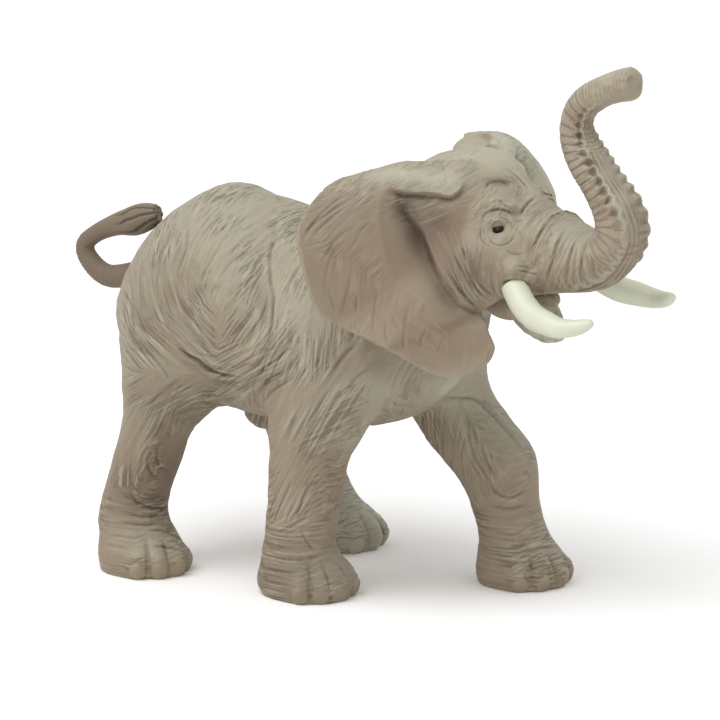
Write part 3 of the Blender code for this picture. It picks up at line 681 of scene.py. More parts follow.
LEG_CREASES = (
    Crease(((139, 469), (144, 453), (156, 442)), 0.21, 0.4),
    Crease(((155, 448), (148, 460), (151, 474), (164, 482)), 0.21, 0.4),
    Crease(((163, 440), (157, 452), (160, 466), (170, 472)), 0.19, 0.4),
    Crease(((128, 488), (137, 503), (153, 508), (168, 506)), 0.23, 0.4),
    Crease(((122, 512), (145, 517), (166, 514)), 0.19, 0.4),
    Crease(((118, 522), (143, 525), (165, 523)), 0.19, 0.4),
    Crease(((111, 535), (135, 538), (150, 534)), 0.19, 0.4),
    Crease(((292, 480), (285, 495), (277, 512)), 0.19, 0.4),
    Crease(((311, 480), (302, 500), (296, 524)), 0.26, 0.44),
    Crease(((300, 528), (307, 543), (316, 553)), 0.19, 0.4),
    Crease(((268, 556), (300, 560), (330, 552)), 0.17, 0.4),
    Crease(((262, 568), (290, 572), (318, 568)), 0.17, 0.4),
    Crease(((488, 476), (495, 492), (511, 497.6), (529, 487)), 0.23, 0.4),
    Crease(((491, 506), (509, 509), (529, 505)), 0.19, 0.4),
    Crease(((493, 531), (510, 535), (528, 529)), 0.17, 0.4),
    Crease(((489, 545), (510, 549), (530, 543)), 0.17, 0.4),
)
HEAD_FORMS = (
    Patch((468, 160), (26, 10), 0.5),
    Patch((497, 205), (15, 6), 0.7, -8),
    Patch((446, 224), (16, 16), -0.6, 10),
    Patch((497, 184), (17, 6.5), -0.65, 0),
    Patch((513, 272), (11, 8), 0.4),
    Patch((455, 268), (14, 22), 0.6),
    Patch((528, 230), (10, 18), 0.4, 20),
)
HEAD_CREASES = (
    Crease(((482, 188), (490, 183.5), (500, 181.5), (509, 186)), 0.12, 0.34),
    Crease(((480, 196), (486, 188), (489, 182)), 0.16, 0.26),
    Crease(((487, 199), (491, 192), (493, 186)), 0.14, 0.26),
    Crease(((520, 216), (527, 204), (536, 197)), 0.26, 0.36, 0.7),
    Crease(((531, 254), (536, 243), (545, 226), (554, 217)), 0.26, 0.36, 0.7),
    Crease(((545, 284), (552, 262), (558, 243), (566, 229)), 0.26, 0.36, 0.7),
    Crease(((567, 282), (568, 265), (573, 247), (578, 240)), 0.20, 0.34, 0.7),
    Crease(((580, 278), (581, 264), (584, 248), (588, 238)), 0.18, 0.34, 0.7),
    Crease(((594, 276), (593, 264), (590, 255)), 0.16, 0.34, 0.7),
    Crease(((518, 271), (528, 272), (539, 276)), 0.30, 0.34),
    Crease(((516, 266), (526, 268), (536, 271)), 0.20, 0.30),
    Crease(((502, 283), (512, 281), (524, 283), (531, 286)), 0.35, 0.40),
    Crease(((438, 252), (441, 260), (444, 267)), 0.22, 0.30),
    Crease(((446, 255), (449, 263), (453, 273)), 0.26, 0.30),
    Crease(((452, 253), (458, 264), (464, 277)), 0.24, 0.30),
    Crease(((461, 246), (464, 254), (466, 262)), 0.24, 0.30),
    Crease(((470, 250), (471, 258), (472, 266)), 0.16, 0.28),
    Crease(((467, 279), (475, 289), (486, 299)), 0.26, 0.32),
    Crease(((457, 287), (466, 298), (476, 308)), 0.24, 0.32),
    Crease(((477, 282), (485, 290), (494, 297)), 0.22, 0.32),
    Crease(((496, 262), (499, 271), (501, 281)), -0.16, 0.34),
    Crease(((503, 166), (518, 178), (530, 191)), 0.14, 0.32),
    Crease(((512, 168), (525, 182), (535, 196)), -0.12, 0.30),
    Crease(((505, 250), (514, 254), (524, 254)), 0.14, 0.30),
)
EYE_CREASES = (
    Crease(((489, 224.5), (493.6, 220), (501, 218.2), (508.4, 220.9), (512.5, 227)), 0.2, 0.22),
    Crease(((487, 231), (489, 239), (494.5, 244.6), (502.8, 245.5), (510.2, 242), (514.3, 235.7),
            (516, 227.4)), 0.16, 0.26),
    Crease(((480.3, 225), (480, 235), (483.4, 242.5), (488.5, 247)), 0.21, 0.24),
    Crease(((484, 228), (484, 236), (487.5, 243)), 0.14, 0.22),
    Crease(((478, 225.5), (482.5, 217.2), (489.9, 211.7), (499.1, 210), (508.4, 212),
            (518.5, 218)), 0.32, 0.34),
    Crease(((499, 202), (508.4, 207.5), (518, 215.5)), 0.18, 0.26),
    Crease(((488, 205), (497, 200.5), (505, 201.5)), 0.12, 0.24),
    Crease(((515, 224), (519, 221), (523, 220.5)), 0.17, 0.24),
    Crease(((516, 230), (520, 233), (521, 238)), 0.12, 0.24),
)
EAR_CREASES = (
    Crease(((303, 236), (316, 219), (333, 203), (350, 192)), 0.20, 0.30),
    Crease(((307, 244), (321, 227), (338, 212), (354, 203)), 0.16, 0.30),
    Crease(((312, 250), (320, 236), (330, 224)), -0.10, 0.30),
    Crease(((326, 300), (325, 280), (329, 262), (337, 246)), 0.12, 0.34),
    Crease(((336, 312), (330, 296), (328, 282)), 0.14, 0.32),
    Crease(((352, 246), (361, 231), (370, 222)), 0.12, 0.30),
    Crease(((357, 318), (356, 304), (359, 290)), 0.14, 0.30),
    Crease(((388, 345), (385, 332), (386, 318)), 0.12, 0.30),
    Crease(((420, 350), (422, 338), (428, 326)), 0.12, 0.30),
    Crease(((437, 356), (440, 344), (446, 334)), 0.12, 0.30),
    Crease(((300, 245), (312, 226), (331, 211), (356, 194)), 0.19, 0.4),
    Crease(((322, 262), (333, 243), (352, 226)), 0.14, 0.4),
    Crease(((340, 320), (346, 296), (352, 270)), 0.14, 0.4),
    Crease(((372, 335), (374, 312), (378, 288)), 0.14, 0.4),
    Crease(((404, 352), (404, 330), (408, 306)), 0.14, 0.4),
)
HEAD_LEDGES = (
    Ledge(((399, 200), (409, 214), (421, 230), (428.5, 247), (437, 268), (453, 294), (464, 306),
           (483, 314)), 0.35, 0.8, 2.6, 1.8, 0.3),
    Ledge(((388, 188), (398, 191.5), (411, 193.7), (434.6, 194.8), (450, 197), (459, 191.5),
           (466, 182)), 0.9, 1.0, 2.0, 6.0, 0.3),
)
EAR_ROOT_WEAR = (Patch((474, 168), (20, 17), 1.5), Patch((464, 220), (12, 34), 1.2),
                 Patch((440, 172), (18, 11), 1.0))
# Ovals of painted light: paler where light falls, on the ear's top edge, the crown, the brow, the rump's
# edge, the chest and the body's side.
PAINTED_LIGHT = (
    Patch((425, 178), (42, 11), 0.75, -2),
    Patch((400, 172), (50, 8), 0.40, 8),
    Patch((475, 160), (30, 14), 0.35),
    Patch((520, 180), (12, 20), 0.25, 45),
    Patch((120, 330), (8, 80), 0.25),
    Patch((455, 395), (30, 24), 0.50),
    Patch((372, 390), (34, 16), 0.45),
    Patch((298, 325), (24, 34), 0.35),
)
# Ovals of painted shade: darker where shade falls, under the ear's edge, in the ear's root, round the
# mouth, under the lip and the brow, in the flank's hollows and on the legs' inner sides. The one with a
# negative amount is painted lighter instead.
PAINTED_SHADING = (
    Patch((403, 208), (8, 10), 0.8, 20),
    Patch((413, 232), (11, 34), 1.3, 22),
    Patch((440, 290), (6, 22), 0.45, 30),
    Patch((168, 470), (15, 42), 0.55, 10),
    Patch((178, 402), (28, 26), 0.60),
    Patch((145, 395), (24, 26), 0.25),
    Patch((165, 300), (34, 70), 0.27),
    Patch((228, 335), (30, 20), 0.20),
    Patch((562, 290), (38, 5.0), 0.55),
    Patch((604, 282), (18, 5.0), 0.35, 25),
    Patch((330, 470), (10, 60), 0.25, 10),
    Patch((516, 284), (15, 2.6), 0.9),
    Patch((440, 222), (20, 22), 0.85),
    Patch((470, 275), (24, 24), 0.85),
    Patch((350, 212), (36, 28), 0.42),
    Patch((135, 490), (32, 34), 0.75),
    Patch((300, 575), (50, 24), 0.65),
    Patch((538, 296), (9, 9), 1.0),
    Patch((484, 137), (12, 8), -0.9),
    Patch((499, 182), (15, 4.5), 0.9),
    Patch((196, 300), (7, 20), 0.5, -20),
    Patch((261, 308), (5, 22), 0.5, 8),
    Patch((210, 372), (26, 5), 0.45, -22),
    Patch((270, 372), (12, 12), 0.35),
    Patch((155, 505), (22, 8), 0.35),
)


@dataclass(frozen=True)
class Foot:
    """A foot's middle on the ground, with its nails by their turn from straight ahead."""

    casting: Casting
    centre_mm: tuple[float, float]
    nails_deg: tuple[float, ...]
    nail_height_mm: float = 2.0
    nail_half_width_mm: float = 2.1
    nail_half_height_mm: float = 2.1
    squareness: float = 2.3
    plate_mm: float = 0.11
    groove_mm: float = 0.10
    toe_mm: float = 0.75
    cleft_mm: float = 0.50

    def heights(self, clay: Clay, mask: Field) -> tuple[Field, Field]:
        """Relief of the nails and of the clefts between the toes.

        A nail is a raised oval plate with a groove round it, low on the foot's edge. Places are
        measured along the foot's edge and up from the ground.

        Args:
            clay: the hide.
            mask: 1 on this leg and 0 elsewhere.

        Returns:
            The heights in millimetres, and how much of each point is nail.
        """
        offset = clay.points[:, :2] - np.array(self.centre_mm)
        radius = np.linalg.norm(offset, axis=1)
        turn = np.degrees(np.arctan2(offset[:, 1], offset[:, 0]))
        up = clay.points[:, 2]
        upright = mask * eased(radius, 5.0, 7.5) * (1 - eased(up, 10.0, 14.0))
        heights = np.zeros(len(up))
        nails = np.zeros(len(up))
        arcs = []
        for angle in self.nails_deg:
            arc = np.radians((turn - angle + 180) % 360 - 180) * radius
            arcs.append(arc)
            across = np.abs(arc / self.nail_half_width_mm)
            level = np.abs((up - self.nail_height_mm) / self.nail_half_height_mm)
            oval = np.sqrt(across ** self.squareness + level ** self.squareness)
            plate = 1 - eased(oval, 0.72, 1.0)
            nails = np.maximum(nails, plate)
            heights += self.plate_mm * plate - self.groove_mm * bell(oval - 1.12, 0.18)
            heights += self.toe_mm * bell(arc, 2.1) * bell(up - 4.2, 3.6)
        for before, after in zip(arcs, arcs[1:]):
            heights -= self.cleft_mm * bell(before + after, 1.1) * (1 - eased(up, 6.0, 11.0)) \
                * eased(up, -0.5, 2.5) * (np.abs(before) < 6)
        return heights * upright, nails * upright


DENTS = (
    Dent((-32.5, 0.0, 92.0), (7.5, 26.0, 10.0), -2.8),
    Dent((43.0, 0.0, 112.5), (8.0, 6.0, 4.0), 1.1),
    Dent((53.0, 8.0, 105.5), (4.5, 5.0, 3.6), -2.4),
    Dent((52.0, 10.5, 103.0), (4.0, 4.5, 4.0), -1.2),
    Dent((65.0, 0.0, 103.0), (6.5, 9.0, 5.0), -2.0),
    Dent((-9.5, -26.5, 4.0), (4.5, 5.5, 5.0), 1.2, False),
    Dent((-37.5, -17.5, 5.0), (4.0, 5.0, 6.0), -0.9, False),
)
FAR_EAR_WEAR = Dent((17.0, 23.0, 108.0), (5.0, 5.5, 4.5), 1.0, False)
FILLERS = (
    Filler(Casting.LEFT_EAR, (18.8, 24.0, 106.4), (5.5, 8.5, 3.3)),
    Filler(Casting.HEAD, (24.5, 17.5, 107.0), (5.5, 6.0, 3.3)),
) + tuple(
    Filler(Casting.HEAD, (x, y * side, z), radii)
    for x, y, z, radii in ((60.4, 11.3, 86.6, (2.6, 2.6, 2.6)), (57.0, 13.2, 88.2, (3.9, 3.7, 3.6)),
                           (54.8, 13.0, 85.4, (3.2, 3.6, 3.4)), (50.0, 6.0, 76.9, (6.5, 3.6, 3.3)))
    for side in (1, -1))

FEET = (
    Foot(Casting.HIND_RIGHT_LEG, (-47.1, -24.5), (-61.0, -34.5, -6.0, 30.0)),
    Foot(Casting.FRONT_RIGHT_LEG, (-0.2, -19.8), (-64.0, -39.0, -13.0, 27.0, 56.0)),
    Foot(Casting.HIND_LEFT_LEG, (-24.2, 23.7), (-30.0, 6.0, 34.5, 61.0)),
    Foot(Casting.FRONT_LEFT_LEG, (34.4, 21.0), (-56.0, -27.0, 13.0, 39.0, 64.0)),
)


@dataclass
class Eyes:
    """The eyeballs' places and the lids round them."""

    centre_px: tuple[float, float] = (498.3, 227.5)
    radius_mm: float = 1.85
    bulge_mm: float = 0.12
    filler_mm: float = 2.1
    hole_mm: tuple[float, float] = (1.86, 1.55)
    place: Points = field(init=False)
    outward: Points = field(init=False)

    def filler(self, side: int) -> Points:
        """The middle of the ball of clay that closes the casting's eye socket.

        Args:
            side: -1 for the right eye and 1 for the left one.

        Returns:
            x, y and z in millimetres.
        """
        low, high = (np.array(corner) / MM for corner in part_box("right_eye"))
        middle = (low + high) / 2
        inward = np.array([-0.3, 0.35, 0.0])
        return (middle + inward) * (1, -side, 1)

    def find(self, clay: Clay) -> None:
        """Find where the photograph's eye meets the hide, and the surface's direction there.

        Args:
            clay: the hide.
        """
        side = Side(clay, False)
        gap = np.linalg.norm(side.pixels - np.array(self.centre_px), axis=1)
        near = (gap < 9) & (side.facing > 0.5) & (clay.points[:, 1] < 0)
        closest = np.flatnonzero(near)[gap[near].argmin()]
        self.place = clay.points[closest]
        self.outward = normalized(clay.normals[near].mean(axis=0))

    def local(self, points: Points, side: int) -> tuple[Field, Field, Field]:
        """Where points lie in the surface round one eye.

        Args:
            points: rows of x, y, z in millimetres.
            side: -1 for the right eye and 1 for the left one.

        Returns:
            How far each is ahead of the eye's middle, above it and away from it.
        """
        offset = points * (1, -side, 1) - self.place
        upward = normalized(np.array([0, 0, 1.0]) - self.outward * self.outward[2])
        ahead = np.cross(upward, self.outward)
        if ahead[0] < 0:
            ahead = -ahead
        return offset @ ahead, offset @ upward, np.linalg.norm(offset, axis=1)

    def heights(self, clay: Clay) -> Field:
        """Relief of lids and folds, from ovals round the eye's middle.

        Args:
            clay: the hide.

        Returns:
            The height at each point.
        """
        total = np.zeros(len(clay.points))
        for side in SIDES:
            ahead, above, away = self.local(clay.points, side)
            hole = np.hypot(ahead / self.hole_mm[0], above / self.hole_mm[1])
            height = -0.55 * (1 - eased(hole, 0.80, 1.02)) + 0.16 * bell(hole - 1.14, 0.16)
            height += 0.34 * bell(np.hypot((ahead + 0.2) / 3.0, (above - 2.1) / 0.9), 1.0)
            height += 0.22 * bell(np.hypot(ahead / 2.8, (above + 2.6) / 1.2), 1.0)
            total += height * (1 - eased(away, 6.6, 8.4)) * (clay.points[:, 1] * side > 0)
        return total


EYES = Eyes()


@dataclass(frozen=True)
class TrunkRelief:
    """Spacings along the trunk and heights of its rings, pits, knobs and ridges."""

    ring_pitch_mm: float = 2.05
    minor_pitch_mm: float = 0.95
    cross_pitch_mm: float = 1.5
    pit_pitch_mm: float = 2.75
    back_mm: float = 0.08
    ring_mm: float = 0.17
    minor_mm: float = 0.06
    pit_mm: float = 0.65
    end_mm: float = 0.16
    tooth_mm: float = 0.80
    rope_mm: float = 0.26
    flute_mm: float = 0.24
    cross_mm: float = 0.10


@dataclass(frozen=True)
class SkinRelief:
    """Widths, lengths and heights of the body's own rolls, folds and fine lines."""

    roll_grain_mm: float = 1.5
    roll_length_mm: float = 24.0
    fold_grain_mm: float = 0.56
    fold_length_mm: float = 20.0
    fine_grain_mm: float = 0.34
    fine_length_mm: float = 12.0
    roll_mm: float = 0.09
    fold_mm: float = 0.025
    fold_line_mm: float = 0.11
    fine_mm: float = 0.012


@dataclass
class Hide:
    """The grey skin of all castings but the jaw, worked as one surface and parted at the end."""

    grain_mm: float = 0.42
    swell_mm: float = 0.35
    tuck_mm: float = 0.8
    tuck_rounds: int = 12
    melt_rounds: int = 14
    border_rounds: int = 14
    fine_below_mm: float = 6.0
    fine_behind_mm: float = -67.5
    fine_ahead_mm: float = 59.0
    fine_round_eye_mm: float = 8.5
    trunk: TrunkRelief = TrunkRelief()
    skin: SkinRelief = SkinRelief()
    clay: Clay = field(init=False)
    member: Field = field(init=False)
    masks: dict[Casting, Field] = field(init=False, default_factory=dict)
    lines: Field = field(init=False)
    nails: Field = field(init=False)
    grain: Field = field(init=False)
    bend: Field = field(init=False)
    order: Field = field(init=False)
    paint: Field = field(init=False)

    def build(self) -> list[bpy.types.Object]:
        """Melt, shape, paint and part the hide.

        Returns:
            The closed pieces.
        """
        source = self.join_castings()
        mesh = self.melt(source)
        LOG.info("hide melted: %d points", len(mesh.vertices))
        self.clay = Clay(mesh)
        self.clay.relax(2)
        self.clay.push(np.full(len(self.clay.points), -self.swell_mm))
        self.settle_members()
        self.shape()
        LOG.info("hide shaped")
        self.mix_paint()
        bpy.data.objects.remove(source)
        pieces = self.part()
        LOG.info("hide parted into %d pieces", len(pieces))
        return pieces

    def join_castings(self) -> bpy.types.Object:
        """Join the castings and fillers, each swollen so that it overlaps its neighbours.

        Returns:
            One object whose attribute "member" says which casting a point belongs to.
        """
        points, faces, member = [], [], []
        for index, casting in enumerate(Casting):
            bm = bmesh.new()
            bm.from_mesh(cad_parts[casting.value].data)
            bmesh.ops.remove_doubles(bm, verts=bm.verts, dist=0.001 * MM)
            mesh = bpy.data.meshes.new(casting.value + "_copy")
            bm.to_mesh(mesh)
            bm.free()
            place = np.empty(len(mesh.vertices) * 3)
            mesh.vertices.foreach_get("co", place)
            normal = np.empty(len(mesh.vertices) * 3)
            mesh.vertex_normals.foreach_get("vector", normal)
            start = sum(len(rows) for rows in points)
            points.append((place + normal * self.swell_mm * MM).reshape(-1, 3))
            faces += [tuple(corner + start for corner in face.vertices) for face in mesh.polygons]
            member += [index] * len(mesh.vertices)
            bpy.data.meshes.remove(mesh)
        eye = (EYES.filler_mm,) * 3
        sockets = tuple(Filler(Casting.HEAD, tuple(EYES.filler(side)), eye) for side in SIDES)
        for filler in FILLERS + sockets:
            bm = bmesh.new()
            bmesh.ops.create_icosphere(bm, subdivisions=3, radius=1.0)
            start = sum(len(rows) for rows in points)
            ball = np.array([vert.co[:] for vert in bm.verts])
            radii = np.array(filler.radii_mm) + self.swell_mm
            points.append((ball * radii + filler.centre_mm) * MM)
            faces += [tuple(vert.index + start for vert in face.verts) for face in bm.faces]
            member += [list(Casting).index(filler.casting)] * len(ball)
            bm.free()
        joined = bpy.data.meshes.new("castings")
        joined.from_pydata(np.concatenate(points).tolist(), [], faces)
        store(joined, "member", np.repeat(np.array(member) / len(Casting), 4).reshape(-1, 4))
        source = bpy.data.objects.new("castings", joined)
        bpy.context.scene.collection.objects.link(source)
        return source

    def melt(self, source: bpy.types.Object) -> bpy.types.Mesh:
        """Turn the joined castings into one even surface that knows which casting is nearest.

        Args:
            source: the joined castings.

        Returns:
            The surface's mesh. Each point's casting goes into self.member.
        """
        mesh = melted(source.data, self.grain_mm)
        clay = Clay(mesh)
        clay.relax(self.melt_rounds)
        mesh.vertices.foreach_set("co", (clay.points * MM).ravel())
        self.refine(mesh, clay)
        for attribute in list(mesh.attributes):
            if attribute.name == "member":
                mesh.attributes.remove(attribute)
        mesh.attributes.new("member", "FLOAT_COLOR", "POINT")
        item = bpy.data.objects.new("unmarked", mesh)
        bpy.context.scene.collection.objects.link(item)
        transfer = item.modifiers.new("member", "DATA_TRANSFER")
        transfer.object = source
        transfer.use_vert_data = True
        transfer.data_types_verts = {"COLOR_VERTEX"}
        transfer.vert_mapping = "NEAREST"
        graph = bpy.context.evaluated_depsgraph_get()
        marked = bpy.data.meshes.new_from_object(item.evaluated_get(graph))
        bpy.data.objects.remove(item)
        colours = np.empty(len(marked.vertices) * 4, np.float32)
        marked.attributes["member"].data.foreach_get("color", colours)
        self.member = np.rint(colours[::4] * len(Casting)).astype(int)
        return marked

    def refine(self, mesh: bpy.types.Mesh, clay: Clay) -> None:
        """Halve the grain where the finest forms are: the eyes, the toes, the trunk and the tail.

        Args:
            mesh: the hide's mesh, which is changed.
            clay: the same surface as arrays.
        """
        points = clay.points
        fine = (points[:, 2] < self.fine_below_mm) | (points[:, 0] < self.fine_behind_mm)
        fine |= points[:, 0] > self.fine_ahead_mm
        for side in SIDES:
            fine |= np.linalg.norm(points - EYES.filler(side), axis=1) < self.fine_round_eye_mm
        bm = bmesh.new()
        bm.from_mesh(mesh)
        bm.verts.ensure_lookup_table()
        edges = [edge for edge in bm.edges
                 if fine[edge.verts[0].index] and fine[edge.verts[1].index]]
        bmesh.ops.subdivide_edges(bm, edges=edges, cuts=1, use_grid_fill=True)
        bm.to_mesh(mesh)
        bm.free()

    def settle_members(self) -> None:
        """Smooth the borders between the castings' shares of the hide, and make soft masks."""
        order = list(Casting)
        shares = (self.member[:, None] == np.arange(len(order))).astype(np.float32)
        shares = self.clay.spread(shares, self.border_rounds)
        self.member = shares.argmax(axis=1)
        self.masks = {casting: shares[:, place] for place, casting in enumerate(order)}

    def on(self, *castings: Casting) -> Field:
        """1 on the given castings and 0 elsewhere, with soft borders."""
        return sum(self.masks[casting] for casting in castings)

    def both(self, patches: tuple[Patch, ...]) -> Field:
        """The patches' amounts on the near side and, mirrored, on the far one."""
        return sum(Side(self.clay, mirrored).patches(patches) for mirrored in (False, True))

    def shape(self) -> None:
        """Soft forms, creases and grain, from the largest to the finest."""
        clay = self.clay
        on_body = self.on(*BODY_CASTINGS)
        on_head = self.on(Casting.HEAD, Casting.TRUNK)
        on_ears = self.on(*EARS)
        wear = np.zeros(len(clay.points))
        for mirrored, near in ((False, Casting.RIGHT_EAR), (True, Casting.LEFT_EAR)):
            worn = np.clip(Side(clay, mirrored).patches(EAR_ROOT_WEAR), 0, 1)
            wear += worn * self.on(Casting.HEAD, near)
        wear += 0.5 * FAR_EAR_WEAR.heights(clay.points)
        clay.flatten(150, np.clip(wear, 0, 1))
        clay.push(sum(dent.heights(clay.points) for dent in DENTS))
        for mirrored in (False, True):
            side = Side(clay, mirrored)
            clay.push(side.patches(TORSO_FORMS) * on_body + side.patches(HEAD_FORMS) * on_head
                      + side.ledge_heights(HEAD_LEDGES) * (on_head + on_ears))
        self.lean_trunk()
        EYES.find(clay)
        flow = self.find_flow(on_body, on_head, on_ears)
        creased = np.zeros(len(clay.points))
        for mirrored in (False, True):
            side = Side(clay, mirrored)
            heights = (side.crease_heights(TORSO_CREASES + LEG_CREASES) * on_body
                       + side.crease_heights(HEAD_CREASES + EYE_CREASES) * on_head
                       + side.crease_heights(EAR_CREASES) * on_ears)
            clay.push(heights)
            creased += np.clip(-heights / 0.32, 0, 1)
        self.nails = np.zeros(len(clay.points))
        for foot in FEET:
            heights, nails = foot.heights(clay, self.masks[foot.casting])
            clay.push(heights)
            self.nails = np.maximum(self.nails, nails)
        grooves = self.ring_trunk() + self.ring_tail()
        self.wrinkle(flow, on_body, on_head, on_ears)
        self.lines += grooves + 0.75 * creased
        clay.push(EYES.heights(clay))
        clay.points[:, 2] = np.maximum(clay.points[:, 2], 0.0)

    def lean_trunk(self) -> None:
        """Lean the raised trunk back, take clay off below its bend and add some near its tip."""
        clay = self.clay
        mask = self.masks[Casting.TRUNK]
        chosen = np.flatnonzero(mask > 0.02)
        rows, _, angle = TRUNK.places(clay.points[chosen])
        thick = np.zeros(len(clay.points))
        thick[chosen] = -1.3 * eased(angle, 115, 165) * eased(rows, 2.5, 4.5) \
            * (1 - eased(rows, 7.0, 9.0))
        thick[chosen] += 1.5 * eased(angle, 70, 150) * eased(rows, 11.5, 13.5) \
            * (1 - eased(rows, 15.4, 16.0))
        clay.points[:, 0] -= 1.3 * mask * eased(clay.points[:, 2], 104.0, 122.0)
        clay.push(clay.spread(thick * mask, 4))

    def ring_trunk(self) -> Field:
        """Rings over the trunk's back, pits where they end, and a ridged band beneath.

        Returns:
            How deep in a groove each point lies, from 0 to 1.
        """
        clay = self.clay
        mask = self.masks[Casting.TRUNK]
        chosen = np.flatnonzero(mask > 0.02)
        rows, along, angle = TRUNK.places(clay.points[chosen])
        slow = Noise(11).at(clay.points[chosen], 2.5)
        odd = Noise(12).at(clay.points[chosen], 1.2)
        far = eased(clay.points[chosen, 1], 0.0, 2.0)
        size = self.trunk
        slant = np.clip(angle, 0, 120) / 120
        raised = eased(rows, 4.5, 6.5) * (1 - eased(rows, 12.2, 13.4))
        banded = eased(rows, 1.0, 2.5) * (1 - eased(rows, 12.8, 14.0))
        ring = np.abs((along / size.ring_pitch_mm + 0.14 * slow + 0.45 * slant) % 1 - 0.5) \
            * size.ring_pitch_mm
        minor = np.abs((along / size.minor_pitch_mm - 0.3 * slow + 0.6 * slant) % 1 - 0.5) \
            * size.minor_pitch_mm
        back = 1 - eased(angle, 96, 116)
        rings = bell(ring, 0.24) * (0.45 + 0.55 * raised) * back * banded
        minors = bell(minor, 0.17) * eased(odd, -0.4, 0.8) * (1 - eased(angle, 110, 135))
        place, between = (((along / size.pit_pitch_mm + 0.05 * slow + start) % 1 - 0.5)
                          * size.pit_pitch_mm for start in (0.0, 0.5))
        share = np.clip((angle - 104) / 20, 0, 1)
        pit = bell(place + 0.25 * odd, 0.30 + 0.75 * share) * bell(angle - 116 - 5 * odd, 11.0)
        pit *= raised * (0.75 + 0.30 * np.clip(odd, -1, 1))
        ends = bell(between, 0.8) * bell(angle - 108, 8.0) * raised
        teeth = bell(between, 0.85) * bell(angle - 138, 17.0) * far \
            * eased(rows, 3.0, 4.0) * (1 - eased(rows, 10.0, 11.5))
        wave = 4 * np.cos(2 * np.pi * place / size.pit_pitch_mm)
        rope = bell(angle - 131 - wave, 5.0) * banded
        flutes = sum(bell(angle - turn - 3 * slow, wide) * (0.6 + 0.4 * np.clip(odd, -1, 1))
                     for turn, wide in ((143, 4.0), (160, 4.5), (176, 3.5)))
        flutes *= banded * (1 - 0.7 * far)
        cross = np.abs((along / size.cross_pitch_mm + 0.5 * slow + angle / 90) % 1 - 0.5) \
            * size.cross_pitch_mm
        crosses = bell(cross, 0.18) * eased(slow, 0.0, 0.9) * eased(angle, 60, 130)
        height = size.back_mm * back * raised - size.ring_mm * rings - size.minor_mm * minors \
            - size.pit_mm * pit + size.end_mm * ends
        height += size.tooth_mm * teeth + size.rope_mm * rope - size.flute_mm * flutes \
            - size.cross_mm * crosses
        total, grooves = np.zeros(len(clay.points)), np.zeros(len(clay.points))
        total[chosen] = height
        grooves[chosen] = 0.55 * rings + 2.0 * pit + 0.55 * flutes + 0.35 * crosses \
            + 0.25 * minors + 0.35 * far * bell(place, 0.5) * eased(angle, 110, 130) - 0.3 * rope
        clay.push(total * mask)
        return np.clip(grooves, -0.3, 1) * mask

    def ring_tail(self) -> Field:
        """Fine rings round the tail, and long slits in the tuft at its end.

        Returns:
            How deep in a groove each point lies, from 0 to 1.
        """
        clay = self.clay
        mask = self.masks[Casting.TAIL]
        chosen = np.flatnonzero(mask > 0.02)
        rows, along, angle = TAIL.places(clay.points[chosen])
        slow = Noise(13).at(clay.points[chosen], 1.5)
        ring = np.abs((along / 0.95 + 0.15 * slow) % 1 - 0.5) * 2
        rings = bell(ring, 0.35) * (1 - eased(rows, 5.0, 6.3))
        slit = np.abs((angle / 45 + 0.14 * slow + rows * 0.08) % 1 - 0.5) * 2
        slits = bell(slit, 0.26) * eased(rows, 6.0, 6.8)
        total, grooves = np.zeros(len(clay.points)), np.zeros(len(clay.points))
        total[chosen] = 0.10 * eased(rows, 6.0, 7.0) - 0.10 * rings - 0.45 * slits
        grooves[chosen] = 0.35 + 0.25 * rings + 0.6 * slits
        clay.points[chosen, 0] -= 0.9 * eased(rows, 5.5, 7.5) * mask[chosen]
        clay.push(total * mask)
        return grooves * mask

    def wrinkle(self, flow: Points, on_body: Field, on_head: Field, on_ears: Field) -> None:
        """The skin's own grain: broad rolls, folds and fine lines, all along the flow.

        Args:
            flow: the folds' direction at each point.
            on_body: 1 on the torso and legs.
            on_head: 1 on the head and trunk.
            on_ears: 1 on the ears.
        """
        clay = self.clay
        clear = 1 - self.nails
        slow = Noise(7).at(clay.points, 3.0)
        patches = eased(slow, -1.0, 0.9)
        self.bend = self.bending(flow)
        size = self.skin
        rolls = self.drawn(Noise(2), flow, size.roll_grain_mm, size.roll_length_mm)
        folds = self.drawn(Noise(3), flow, size.fold_grain_mm, size.fold_length_mm)
        fine = self.drawn(Noise(5), flow, size.fine_grain_mm, size.fine_length_mm)
        smooth = self.masks[Casting.TRUNK] * 0.6 + self.masks[Casting.TAIL] * 0.8
        strength = np.clip(on_body + 0.65 * on_head + 0.55 * on_ears - smooth, 0.1, 1.0) * clear
        strength *= self.order
        fold_lines = bell(folds, 0.26) * (0.2 + 0.8 * patches)
        height = size.roll_mm * rolls * on_body + size.fold_mm * folds \
            - size.fold_line_mm * fold_lines + size.fine_mm * fine
        clay.push(height * strength)
        self.lines = 0.32 * fold_lines * strength
        # Fewer fine lines are drawn where ovals of painted light lie on the head and the ears.
        brushed_and_lit = self.both(PAINTED_LIGHT)
        drawn = np.clip(on_body + 0.8 * on_head + 0.7 * on_ears - smooth, 0, 1) * clear
        drawn *= 1 - 0.8 * np.clip(brushed_and_lit, 0, 1) * (on_head + on_ears)
        self.set_grain(flow, drawn * (0.25 + 0.75 * patches) * (0.1 + 0.9 * self.order))

